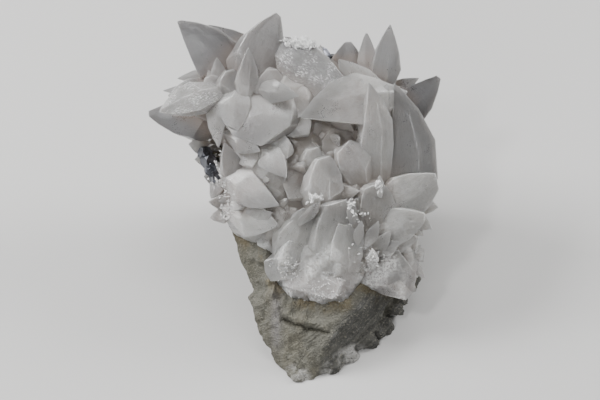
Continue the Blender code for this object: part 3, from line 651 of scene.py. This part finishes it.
def roughen(shape, whose):
    """The foot of the slope is granular, and a few crystals are etched in fine streaks."""
    etched = {number for number, crystal in enumerate(crystals) if crystal.name in ETCHED}

    def relief_at(vert):
        owners = {face[whose] for face in vert.link_faces}
        if owners <= etched:
            x, y, z = crystals[owners.pop()].frame.inverted() @ vert.co
            return vert.normal * (0.08 * noise.noise(Vector((x / 0.9, y / 0.9, z / 3.2))))
        if owners != {-1}:
            return Vector((0, 0, 0))
        chips = noise.ridged_multi_fractal(vert.co / 2.0, 0.7, 2.2, 3, 1.0, 2.0) - 1
        grain = noise.noise(vert.co / 2.2) + 0.8 * chips
        return vert.normal * (low_spar(vert.co) * 0.42 * grain)

    displace(shape, relief_at)


def inward_depth(shape, deepest=12.0):
    """How thick the crystal is behind each vertex, in millimetres."""
    tree = BVHTree.FromBMesh(shape)
    depths = []
    for vert in shape.verts:
        inward = -vert.normal
        hit = tree.ray_cast(vert.co + inward * 0.05, inward, deepest)
        depths.append(hit[3] if hit[0] is not None else deepest)
    return np.array(depths)


def evened(values, mesh, rounds):
    """Spreads a value at the vertices out over their neighbours."""
    ends = np.empty(len(mesh.edges) * 2, dtype=np.int32)
    mesh.edges.foreach_get("vertices", ends)
    a, b = ends[0::2], ends[1::2]
    count = np.bincount(a, minlength=len(values)) + np.bincount(b, minlength=len(values)) + 1
    for _ in range(rounds):
        total = values + np.bincount(a, values[b], len(values)) + np.bincount(b, values[a], len(values))
        values = total / count
    return values


def points_of(mesh):
    """The vertices of a finished mesh, in millimetres."""
    flat = np.empty(len(mesh.vertices) * 3, dtype=np.float32)
    mesh.vertices.foreach_get("co", flat)
    return flat.reshape(-1, 3) / MM


def places_of(mesh):
    """The vertices of a finished mesh, in millimetres across, up and out of the slope."""
    return (points_of(mesh) - np.array(FRONT_POINT)) @ ACROSS_UP_OUT


def sunk_below_crystals(places, reach=7):
    """How far each place lies below the tops of the crystals round it, on a grid of one millimetre."""
    (wide, high), (left, low), deepest = (150, 170), (-70, -20), -60.0
    column = np.clip(np.round(places[:, 0]).astype(int) - left, reach, wide - reach)
    row = np.clip(np.round(places[:, 1]).astype(int) - low, reach, high - reach)
    tops = np.full((wide, high), deepest)
    np.maximum.at(tops, (column, row), places[:, 2])
    seen = tops.copy()
    for _ in range(2):
        seen = np.maximum.reduce([np.roll(seen, (i, j), (0, 1)) for i in (-1, 0, 1) for j in (-1, 0, 1)])
    around = np.mean(
        [np.roll(seen, (i, j), (0, 1)) for i in range(-reach, reach + 1) for j in range(-reach, reach + 1)],
        axis=0,
    )
    return around[column, row] - places[:, 2]


whose_layer, worn_layer = owners_of(calcite_shape)
divide_long_edges(calcite_shape, whose_layer)
roughen(calcite_shape, whose_layer)
calcite_shape.normal_update()
calcite_shape.faces.index_update()
whose = np.array([face[whose_layer] for face in calcite_shape.faces])
worn_edge_with_painted_highlight = np.array([face[worn_layer] for face in calcite_shape.faces])
thickness = inward_depth(calcite_shape)
calcite = object_of("calcite_grown_together", calcite_shape)
soften_corners(calcite, CRYSTAL_CORNER)

places = places_of(calcite.data)
sunk_stain_and_shade = evened(sunk_below_crystals(places), calcite.data, 2)
# Thin places are clearer, and the material also darkens them as painted shade.
clarity_and_painted_shade = evened(smoothstep(7.0, 1.6, thickness), calcite.data, 5)
give(calcite.data, "sunk_stain_and_shade", smoothstep(1.0, 8.0, sunk_stain_and_shade))
give(calcite.data, "clarity_and_painted_shade", clarity_and_painted_shade)
give(calcite.data, "worn_edge_with_painted_highlight", worn_edge_with_painted_highlight, "FACE")
# Painted shade: how far each of these crystals is darkened all over; the others get only a random tone.
PAINTED_SHADE_OF_CRYSTAL = {
    "left_horn": 1.0,
    "split_blade": 1.0,
    "crown_peak": 0.7,
    "dark_horn": 1.0,
    "smoky_round": 0.9,
    "short_spire": 0.7,
    "tall_spire": 0.75,
    "right_horn": 1.0,
    "right_splinter": 0.9,
    "great_right": 0.75,
    "pillar": 0.2,
    "right_fan_upper": 0.3,
    "lower_right_lump": 0.6,
    "lower_right_shelf": 0.4,
    "broad_face": 0.5,
    "broad_face_left": 0.35,
    "saddle": 0.45,
    "low_peak": 0.45,
    "left_splinter": 0.7,
    "left_needle": 0.7,
    "left_tooth": 0.6,
    "shoulder_block": 0.5,
    "shoulder_chip": 0.6,
    "front_leaf": 0.25,
    "bright_spindle": 0.5,
    "sparkling_blade": 0.8,
}
STRIPED = {
    "great_right": 1.0,
    "tall_spire": 0.8,
    "pillar": 0.35,
    "right_fan_upper": 0.4,
    "striped_slope": 0.6,
}


def give_by_crystal(name, values, in_spar=0.0):
    """Stores a number for each face of the calcite, by its crystal, with one more for the massive spar."""
    give(calcite.data, name, np.array(values + [in_spar])[whose], "FACE")


tones = [crystal.chance.random() * 0.4 for crystal in crystals]
give_by_crystal("tone_and_painted_shade", [PAINTED_SHADE_OF_CRYSTAL.get(crystal.name, tone_and_painted_shade) for crystal, tone_and_painted_shade in zip(crystals, tones)], 0.2)
give_by_crystal("etched", [float(crystal.name in ETCHED) for crystal in crystals])
give_by_crystal("striped", [STRIPED.get(crystal.name, 0.0) for crystal in crystals])
at_the_foot = np.array([low_spar(v.co / MM) for v in calcite.data.vertices])
patchy = [noise.noise(v.co / MM / 7) for v in calcite.data.vertices]
give(calcite.data, "powdery", at_the_foot * smoothstep(-0.1, 0.25, patchy))


def growth_places(mesh, whose):
    """Each face corner's place in the frame of its own crystal, in millimetres, far from all the others."""
    points = np.c_[points_of(mesh), np.ones(len(mesh.vertices))]
    corners = np.empty(len(mesh.loops), dtype=np.int32)
    mesh.loops.foreach_get("vertex_index", corners)
    owner = np.repeat(whose, 3)
    frames = np.array([np.array(crystal.frame.inverted()) for crystal in crystals] + [np.eye(4)])
    shifts = [[crystal.chance.uniform(-900, 900) for _ in range(3)] for crystal in crystals]
    apart = np.array(shifts + [[0, 0, 0]])
    return np.einsum("nij,nj->ni", frames[owner], points[corners])[:, :3] + apart[owner]


growth = calcite.data.attributes.new("growth", "FLOAT_VECTOR", "CORNER")
growth.data.foreach_set("vector", growth_places(calcite.data, whose).astype(np.float32).ravel())


class Wire:
    """A value in a material. Arithmetic on it adds the nodes that work it out."""

    def __init__(self, finish, socket):
        self.finish = finish
        self.socket = socket

    def maths(self, operation, *values):
        return self.finish.node("Math", dict(enumerate(values)), {"operation": operation})

    def __add__(self, other):
        return self.maths("ADD", self, other)

    __radd__ = __add__

    def __sub__(self, other):
        return self.maths("SUBTRACT", self, other)

    def __rsub__(self, other):
        return self.maths("SUBTRACT", other, self)

    def __mul__(self, other):
        return self.maths("MULTIPLY", self, other)

    __rmul__ = __mul__

    def between(self, low, high):
        """0 below low, 1 above high, and a smooth rise between."""
        values = {"Value": self, "From Min": low, "From Max": high}
        return self.finish.node("MapRange", values, {"interpolation_type": "SMOOTHSTEP"})


class Finish:
    """A material that is put together from nodes."""

    def __init__(self, name):
        self.material = bpy.data.materials.new(name)
        self.material.use_nodes = True
        self.tree = self.material.node_tree
        self.tree.nodes.clear()
        self.places = self.node("TexCoord", output="Object")

    def node(self, kind, values=None, settings=None, output=0):
        """Adds a node with its inputs and settings, and gives one of its outputs."""
        made = self.tree.nodes.new("ShaderNode" + kind)
        for name, value in (settings or {}).items():
            setattr(made, name, value)
        for name, value in (values or {}).items():
            if isinstance(value, Wire):
                self.tree.links.new(value.socket, made.inputs[name])
            else:
                made.inputs[name].default_value = value
        return Wire(self, made.outputs[output])

    def kept(self, name, output="Fac"):
        """A value that the mesh carries."""
        return self.node("Attribute", settings={"attribute_name": name}, output=output)

    def stretched(self, places, scale, turn=(0, 0, 0)):
        """Places drawn out along three axes, and turned."""
        return self.node("Mapping", {"Vector": places, "Scale": scale, "Rotation": turn})

    def clouds(self, places, scale, detail, roughness, distortion=0.0):
        """Soft noise, at one scale or at a scale for each of three axes."""
        if isinstance(scale, tuple):
            places, scale = self.stretched(places, scale), 1.0
        values = {"Vector": places, "Scale": scale, "Detail": detail}
        return self.node("TexNoise", {**values, "Roughness": roughness, "Distortion": distortion})

    def tinted(self, amount, *colours):
        """A colour taken towards another one by an amount."""
        first, second = [c if isinstance(c, Wire) else (*c, 1) for c in colours]
        return self.node("Mix", {0: amount, 6: first, 7: second}, {"data_type": "RGBA"}, output=2)

    def layered(self, colour, *layers):
        """A colour with others laid over it in turn, each by its own amount."""
        for amount, layer in layers:
            colour = self.tinted(amount, colour, layer)
        return colour

    def relief(self, height, distance, strength, under=None):
        """Bumps of a height times a distance in metres, over any relief under them."""
        values = {"Height": height, "Distance": distance, "Strength": strength}
        if under:
            values["Normal"] = under
        return self.node("Bump", values)

    def principled(self, **values):
        """A shader whose inputs are named in plain letters, with _ for a space."""
        return self.node("BsdfPrincipled", {name.replace("_", " "): value for name, value in values.items()})

    def surface(self, shader):
        """The material, finished with a shader on its surface."""
        out = self.tree.nodes.new("ShaderNodeOutputMaterial")
        self.tree.links.new(shader.socket, out.inputs["Surface"])
        return self.material


CALCITE_IOR = 1.5


def calcite_finish():
    """Milky, faintly warm spar: clearer towards thin tips, lined up each crystal, brown with stain in the
    hollows. Painted shade darkens the hollows, the thin tips and some whole crystals; painted glints streak
    the etched crystals, and a painted highlight lies on the worn edges.
    """
    spar = Finish("milky_calcite")
    growth = spar.kept("growth", "Vector")
    clarity_and_painted_shade = spar.kept("clarity_and_painted_shade")
    sunk_stain_and_shade = spar.kept("sunk_stain_and_shade")
    tone_and_painted_shade = spar.kept("tone_and_painted_shade")
    etched = spar.kept("etched")
    worn = spar.kept("worn_edge_with_painted_highlight")
    striped = spar.kept("striped")
    powdery = spar.kept("powdery")

    veils = spar.clouds(growth, 0.16, 4, 0.6)
    patches = spar.clouds(spar.places, 34, 2, 0.5)
    lines = spar.clouds(growth, (2.6, 2.6, 0.07), 3, 0.6)
    steps = spar.clouds(growth, (0.35, 0.35, 0.8), 3, 0.5)
    etching_and_painted_glints = spar.clouds(growth, (4.2, 4.2, 1.1), 4, 0.65, 0.5)
    painted_glint_zone = spar.clouds(growth, 0.26, 2, 0.5).between(0.42, 0.62)
    frost = spar.clouds(growth, 3.4, 3, 0.6)
    feathers = spar.clouds(growth, (1.1, 1.1, 0.35), 5, 0.65, 0.6)
    speckle = spar.clouds(spar.places, 1700, 2, 0.6)
    grain = spar.clouds(spar.places, 1300, 3, 0.6)
    fold = spar.clouds(growth, (0.45, 0.45, 0.22), 4, 0.6, 1.0) - 0.5
    wisps = 1 - (fold * fold).between(0.0, 0.0012)

    body = spar.layered(
        (0.52, 0.515, 0.485),
        (patches.between(0.42, 0.60), (0.55, 0.495, 0.47)),
        (veils.between(0.35, 0.70) * 0.4, (0.64, 0.635, 0.62)),
        ((1 - veils.between(0.30, 0.5)) * 0.5, (0.38, 0.375, 0.375)),
        (feathers.between(0.45, 0.62) * 0.5, (0.74, 0.74, 0.73)),
        (speckle.between(0.50, 0.66) * 0.35, (0.74, 0.74, 0.73)),
        (wisps * 0.5, (0.82, 0.82, 0.81)),
        (lines.between(0.42, 0.62) * 0.22, (0.62, 0.62, 0.61)),
        # painted shade: the listed crystals darkened all over, the rest by a random tone
        (tone_and_painted_shade * 0.88, (0.07, 0.068, 0.074)),
        # painted shade: thin, clear places are darkened
        (clarity_and_painted_shade * 0.5, (0.23, 0.23, 0.235)),
        (striped * lines.between(0.40, 0.60) * 0.6, (0.27, 0.275, 0.28)),
        # painted glints: streaks of white on the etched crystals
        (etched * painted_glint_zone * etching_and_painted_glints.between(0.53, 0.60) * 0.85, (0.97, 0.97, 0.96)),
        # brown stain and painted shade in the hollows between the crystals
        (sunk_stain_and_shade * 0.65, (0.36, 0.29, 0.245)),
        (powdery * grain.between(0.42, 0.58) * 0.7, (0.78, 0.785, 0.77)),
        # painted highlight: the worn bevels along the crystal edges are lightened
        (worn * feathers.between(0.45, 0.6) * 0.3, (0.80, 0.80, 0.79)),
    )
    heights = lines * (0.9 + striped * 1.6) + steps * 0.9 + feathers * 0.8 + etching_and_painted_glints * etched * 4.0
    relief = spar.relief(heights, 0.0003, 0.55)
    relief = spar.relief(frost, 0.00008, 0.5, relief)
    relief = spar.relief(grain * powdery, 0.0003, 0.6, relief)
    rough = 0.06 + frost * 0.10 + veils * 0.14 - etched * 0.05
    milky = spar.principled(
        Base_Color=body,
        Roughness=rough,
        IOR=CALCITE_IOR,
        Normal=relief,
        Subsurface_Weight=1.0,
        Subsurface_Radius=(1.0, 0.95, 0.90),
        Subsurface_Scale=0.007,
    )
    clear = spar.principled(
        # the clear part is darkened by the same painted shade, and on thin places
        Base_Color=spar.tinted(tone_and_painted_shade * 0.85 + clarity_and_painted_shade * 0.15, (0.86, 0.85, 0.835), (0.16, 0.16, 0.17)),
        Roughness=rough + 0.12,
        IOR=CALCITE_IOR,
        Normal=spar.relief(steps + lines * 0.3, 0.0003, 0.25),
        Transmission_Weight=1.0,
    )
    share = (0.40 + clarity_and_painted_shade * 0.34) * (1 - worn * 0.6) * (0.7 + veils * 0.5)
    share = share * (1 - powdery * 0.8) * (1 - etched * 0.5)
    return spar.surface(spar.node("MixShader", {0: share, 1: milky, 2: clear}))


calcite.data.materials.clear()
calcite.data.materials.append(calcite_finish())
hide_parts("calcite_crystals")
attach(calcite, "root")

# A druse of tiny, bright dogtooth crystals grew last, in hollows and along edges of the crust, with a white
# crest behind the crown. Each is twelve faces round a short axis, set in the spar below it.
DRUSE = (
    ((-22, 60), (3, 7), 60, (0.4, 1.1)),
    ((6.5, 61.5), (3.5, 1.6), 22, (0.9, 2.4)),
    ((27.6, 66), (1.4, 1.8), 16, (0.8, 2.0)),
    ((18.6, 59), (1.2, 2.5), 16, (0.8, 2.0)),
    ((21, 56), (4, 3), 24, (0.4, 1.2)),
    ((25, 42), (6, 5), 50, (0.4, 1.2)),
    ((-27, 72), (3, 8), 60, (0.5, 1.5)),
    ((-2, 38), (5, 4), 80, (0.3, 0.8)),
    ((9, 31), (8, 4), 110, (0.3, 0.8)),
    ((3, 112.8), (5, 1.5), 320, (0.6, 1.4)),
)


def add_to(shape, other):
    """Adds another shape to a shape, and frees it."""
    mesh = bpy.data.meshes.new("added")
    other.to_mesh(mesh)
    other.free()
    shape.from_mesh(mesh)
    bpy.data.meshes.remove(mesh)


ABOVE_ALL = 60
spar_tree = BVHTree.FromPolygons(
    [v.co / MM for v in calcite.data.vertices], [p.vertices for p in calcite.data.polygons]
)
druse_shape = bmesh.new()
chance = random.Random(5)
for (across, up), (half_across, half_up), count, (shortest, longest) in DRUSE:
    for _ in range(count):
        spot_across = across + chance.gauss(0, 0.5) * half_across
        spot_up = up + chance.gauss(0, 0.5) * half_up
        seat, normal, _, _ = spar_tree.ray_cast(on_face(spot_across, spot_up, ABOVE_ALL), -TOWARDS_VIEWER)
        if seat is None:
            continue
        lean = Vector((chance.gauss(0, 0.5), chance.gauss(0, 0.5), chance.gauss(0, 0.5)))
        heading = (normal + 0.5 * UP_THE_SLOPE + lean).normalized()
        length = chance.uniform(shortest, longest)
        tiny = bmesh.new()
        bmesh.ops.create_uvsphere(tiny, u_segments=6, v_segments=2, radius=1)
        for v in tiny.verts:
            raised = 0.18 if gore_of(v.co) % 2 and abs(v.co.z) < 0.5 else 0
            v.co = Vector((v.co.x * 0.3, v.co.y * 0.3, v.co.z + raised))
        place = heading.to_track_quat("Z", "Y").to_matrix().to_4x4() @ Matrix.Scale(length, 4)
        place.translation = seat + heading * length * 0.45
        bmesh.ops.transform(tiny, matrix=place, verts=tiny.verts)
        add_to(druse_shape, tiny)
druse_shape.normal_update()
bmesh.ops.recalc_face_normals(druse_shape, faces=druse_shape.faces)
druse = object_of("druse_of_tiny_crystals", druse_shape)


def druse_finish():
    """Small clean crystals: glassy, with a frosty white heart."""
    frosty = Finish("bright_druse")
    veils = frosty.clouds(frosty.places, 500, 2, 0.5)
    white = frosty.principled(
        Base_Color=(0.86, 0.86, 0.85, 1),
        Roughness=0.14 + veils * 0.15,
        IOR=CALCITE_IOR,
        Subsurface_Weight=0.5,
        Subsurface_Radius=(1.0, 1.0, 1.0),
        Subsurface_Scale=0.001,
    )
    glassy = frosty.principled(
        Base_Color=(0.94, 0.94, 0.93, 1), Roughness=0.06, IOR=CALCITE_IOR, Transmission_Weight=1.0
    )
    share = veils.between(0.45, 0.65) * 0.35
    return frosty.surface(frosty.node("MixShader", {0: share, 1: white, 2: glassy}))


druse.data.materials.append(druse_finish())
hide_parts("calcite_crystals")
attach(druse, "root")

# The rock's own surface: where it was broken, what the vein left on it, and how far it is from the calcite;
# and the crevice, which is painted with shade.
FARTHEST = 8.0
rock_shape.normal_update()
beside_calcite = []
facing = {name: [] for name in ("dark", "flank", "front")}
for vert in rock_shape.verts:
    nearest = spar_tree.find_nearest(vert.co, FARTHEST)
    beside_calcite.append(nearest[3] if nearest[0] is not None else FARTHEST)
    for name, found in facing.items():
        point, normal = ROCK_BREAKS[name]
        found.append((vert.co - on_face(*point)).dot(along_face(*normal)))
rock = object_of("rock_wedge", rock_shape)
soften_corners(rock, ROCK_CORNER)
give(rock.data, "near_calcite", evened(smoothstep(4.5, 0.5, beside_calcite), rock.data, 3))
for name, found in facing.items():
    give(rock.data, name + "_break", evened(smoothstep(-2.6, -0.4, found), rock.data, 2))
places = places_of(rock.data)
across, up, _ = places.T
violet = np.exp(-(((across + 6.0) / 1.7) ** 2)) * smoothstep(8, 16, up) * smoothstep(44, 36, up)
give(rock.data, "violet_band", violet)
# The crevice is painted dark in the material: painted shade under the overhanging bed.
in_groove = [crevice_at(v.co / MM - FRONT_POINT) for v in rock.data.vertices]
give(rock.data, "crevice", np.clip(in_groove, 0, 1))
from_lumps = [np.linalg.norm(places - np.array(lump), axis=1) - size for lump, size in ROCK_LUMPS[:4]]
give(rock.data, "crusted", smoothstep(3.4, 0.6, np.min(from_lumps, axis=0)))


def rock_finish():
    """Grey-beige limestone: pale on the left, streaked dark grey on the right, brown next to the spar, with
    painted shade in the crevice.
    """
    stone = Finish("banded_limestone")
    near = stone.kept("near_calcite")
    dark = stone.kept("dark_break")
    flank = stone.kept("flank_break")
    front = stone.kept("front_break")
    violet = stone.kept("violet_band")
    crevice = stone.kept("crevice")
    crusted = stone.kept("crusted")

    tilt = Vector((0, 0, 1)).rotation_difference(BANDING).to_euler()
    beds = stone.stretched(stone.places, (1, 1, 1), tuple(-angle for angle in tilt))
    layers = stone.clouds(beds, (90, 90, 900), 5, 0.6)
    streaks = stone.clouds(stone.places, (160, 160, 160), 6, 0.6)
    upright = stone.clouds(stone.places, (700, 700, 160), 4, 0.6)
    patches = stone.clouds(stone.places, 60, 3, 0.5)
    grains = stone.clouds(stone.places, 1500, 2, 0.6)
    specks = stone.node("TexVoronoi", {"Vector": stone.places, "Scale": 900})

    body = stone.layered(
        (0.105, 0.100, 0.078),
        (patches.between(0.38, 0.62), (0.132, 0.129, 0.108)),
        (flank * upright.between(0.40, 0.62) * 0.6, (0.165, 0.161, 0.138)),
        (front * streaks.between(0.42, 0.62) * 0.55, (0.17, 0.158, 0.118)),
        (violet * 0.6, (0.19, 0.18, 0.185)),
        (dark * 0.6, (0.075, 0.075, 0.072)),
        (dark * layers.between(0.38, 0.60) * 0.85, (0.045, 0.045, 0.043)),
        (dark * layers.between(0.62, 0.74) * 0.6, (0.26, 0.255, 0.24)),
        ((1 - dark) * layers.between(0.58, 0.72) * 0.25, (0.12, 0.115, 0.095)),
        (near * streaks.between(0.42, 0.58) * 0.7, (0.15, 0.12, 0.065)),
        (near * front * streaks.between(0.48, 0.60) * 0.8, (0.34, 0.305, 0.20)),
        (crusted * streaks.between(0.40, 0.58) * 0.75, (0.42, 0.415, 0.40)),
        # painted shade in the crevice under the overhanging bed
        (crevice * 0.85, (0.045, 0.042, 0.03)),
        (grains.between(0.56, 0.66) * 0.6, (0.23, 0.219, 0.177)),
        ((1 - grains.between(0.34, 0.46)) * 0.55, (0.085, 0.08, 0.07)),
        ((1 - specks.between(0.05, 0.25)) * 0.35, (0.07, 0.068, 0.06)),
    )
    shader = stone.principled(
        Base_Color=body,
        Roughness=0.72 + grains * 0.2,
        Normal=stone.relief(streaks + layers * 0.9 + grains * 0.7, 0.0011, 1.0),
        Specular_IOR_Level=0.35,
    )
    return stone.surface(shader)


rock.data.materials.clear()
rock.data.materials.append(rock_finish())
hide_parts("matrix_rock")
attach(rock, "root")

# The galena is lead sulphide in bright lead-grey cubes with cut corners, which split in steps. It sits in the
# left edge of the crust and in a gap at the back of the crown.
GALENA = {
    "galena_left": (
        ((-29.8, 76.6, -3.2), 3.7, (20, 30, 10)),
        ((-28.6, 74.0, -2.6), 4.0, (50, 15, 35)),
        ((-27.2, 71.2, -2.4), 4.2, (10, 40, 60)),
        ((-25.9, 68.4, -2.2), 3.9, (30, 10, 20)),
        ((-24.8, 65.8, -2.0), 3.4, (15, 55, 40)),
    ),
    "galena_crown": (
        ((9.0, 109.2, -9.0), 4.8, (25, 30, 15)),
        ((12.2, 107.6, -8.6), 4.2, (55, 10, 30)),
        ((5.8, 110.4, -10.6), 3.8, (10, 35, 50)),
    ),
}
CORNER_CUT = 0.78
CUBE_CORNER = 20


def galena_cube(shape, place, size, turn, chance):
    """A cube with its eight corners cut, its faces split in shallow steps."""
    cube = bmesh.new()
    bmesh.ops.create_cube(cube, size=size)
    reach = size / 2 * math.sqrt(3) * CORNER_CUT
    for corner in [Vector((x, y, z)).normalized() for x in (-1, 1) for y in (-1, 1) for z in (-1, 1)]:
        cleave(cube, corner * reach, corner)
    cube.normal_update()
    bmesh.ops.recalc_face_normals(cube, faces=cube.faces)
    for depth in (-0.10, -0.14):
        for face in [f for f in cube.faces if f.calc_area() > size]:
            bmesh.ops.inset_individual(
                cube, faces=[face], thickness=size * chance.uniform(0.06, 0.13), depth=depth * chance.random()
            )
    bevel(cube, cube.edges[:], 0.07)
    for angle, around in zip(turn, "XYZ"):
        bmesh.ops.rotate(cube, matrix=Matrix.Rotation(math.radians(angle), 3, around), verts=cube.verts)
    bmesh.ops.translate(cube, vec=on_face(*place), verts=cube.verts)
    add_to(shape, cube)


def galena_finish():
    """Lead-grey metal, bright on fresh cleavage and dull where it has tarnished."""
    lead = Finish("galena_metal")
    tarnish = lead.clouds(lead.places, 320, 4, 0.6)
    fine = lead.clouds(lead.places, 1400, 2, 0.5)
    shader = lead.principled(
        Base_Color=lead.tinted(tarnish.between(0.4, 0.65), (0.15, 0.155, 0.175), (0.035, 0.037, 0.042)),
        Metallic=0.95,
        Roughness=0.18 + tarnish * 0.3,
        Normal=lead.relief(tarnish + fine * 0.4, 0.0001, 0.5),
    )
    return lead.surface(shader)


lead_grey = galena_finish()
for patch, cubes in GALENA.items():
    shape = bmesh.new()
    chance = random.Random(patch)
    for place, size, turn in cubes:
        galena_cube(shape, place, size, turn, chance)
        for _ in range(3):
            beside = [c + chance.uniform(-0.5, 0.5) * size for c in place]
            galena_cube(shape, beside, size * chance.uniform(0.25, 0.5), turn, chance)
    cubes_made = object_of(patch + "_cubes", shape)
    soften_corners(cubes_made, CUBE_CORNER)
    cubes_made.data.materials.append(lead_grey)
    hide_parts(patch)
    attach(cubes_made, "root")

# The picture: a plain pale table, soft light from large panels, and the camera half above the specimen.
BELOW_THE_ROCK = 0.2
floor_shape = bmesh.new()
bmesh.ops.create_grid(floor_shape, x_segments=1, y_segments=1, size=3000)
bmesh.ops.translate(floor_shape, vec=(0, 0, -BELOW_THE_ROCK), verts=floor_shape.verts)
floor = object_of("table_top", floor_shape)
plain = Finish("pale_table")
pale = plain.principled(Base_Color=(0.53, 0.526, 0.518, 1), Roughness=0.8)
floor.data.materials.append(plain.surface(pale))


def soft_panel(name, place, size, power, target):
    """A rectangular lamp that faces a target."""
    lamp = bpy.data.lights.new(name, "AREA")
    lamp.shape = "RECTANGLE"
    lamp.size, lamp.size_y = size
    lamp.energy = power
    panel = bpy.data.objects.new(name, lamp)
    panel.location = place
    panel.rotation_euler = (Vector(target) - Vector(place)).to_track_quat("-Z", "Y").to_euler()
    bpy.context.scene.collection.objects.link(panel)


MIDDLE = (0, 0, 0.04)
soft_panel("left_panel", (-0.62, 0.18, 0.62), (0.34, 0.34), 11.0, MIDDLE)
soft_panel("right_panel", (0.66, 0.22, 0.46), (0.26, 0.40), 6.0, MIDDLE)
soft_panel("top_panel", (0.0, 0.30, 0.90), (0.6, 0.25), 4.5, MIDDLE)
soft_panel("small_panel", (-0.30, -0.35, 0.80), (0.09, 0.09), 2.2, MIDDLE)
soft_panel("front_panel", (-0.25, -0.80, 0.50), (0.6, 0.45), 3.4, MIDDLE)
world = bpy.data.worlds.new("room")
bpy.context.scene.world = world
world.use_nodes = True
world.node_tree.nodes["Background"].inputs[0].default_value = (1.0, 0.99, 0.97, 1)
world.node_tree.nodes["Background"].inputs[1].default_value = 0.06

camera = bpy.data.objects.new("camera", bpy.data.cameras.new("camera"))
bpy.context.scene.collection.objects.link(camera)
camera.data.sensor_width = 36
camera.data.lens = 180
camera.data.clip_start = 0.01
camera.location = on_face(2, 61, 1000) * MM
camera.rotation_euler = (-TOWARDS_VIEWER).to_track_quat("-Z", "Y").to_euler()
bpy.context.scene.camera = camera
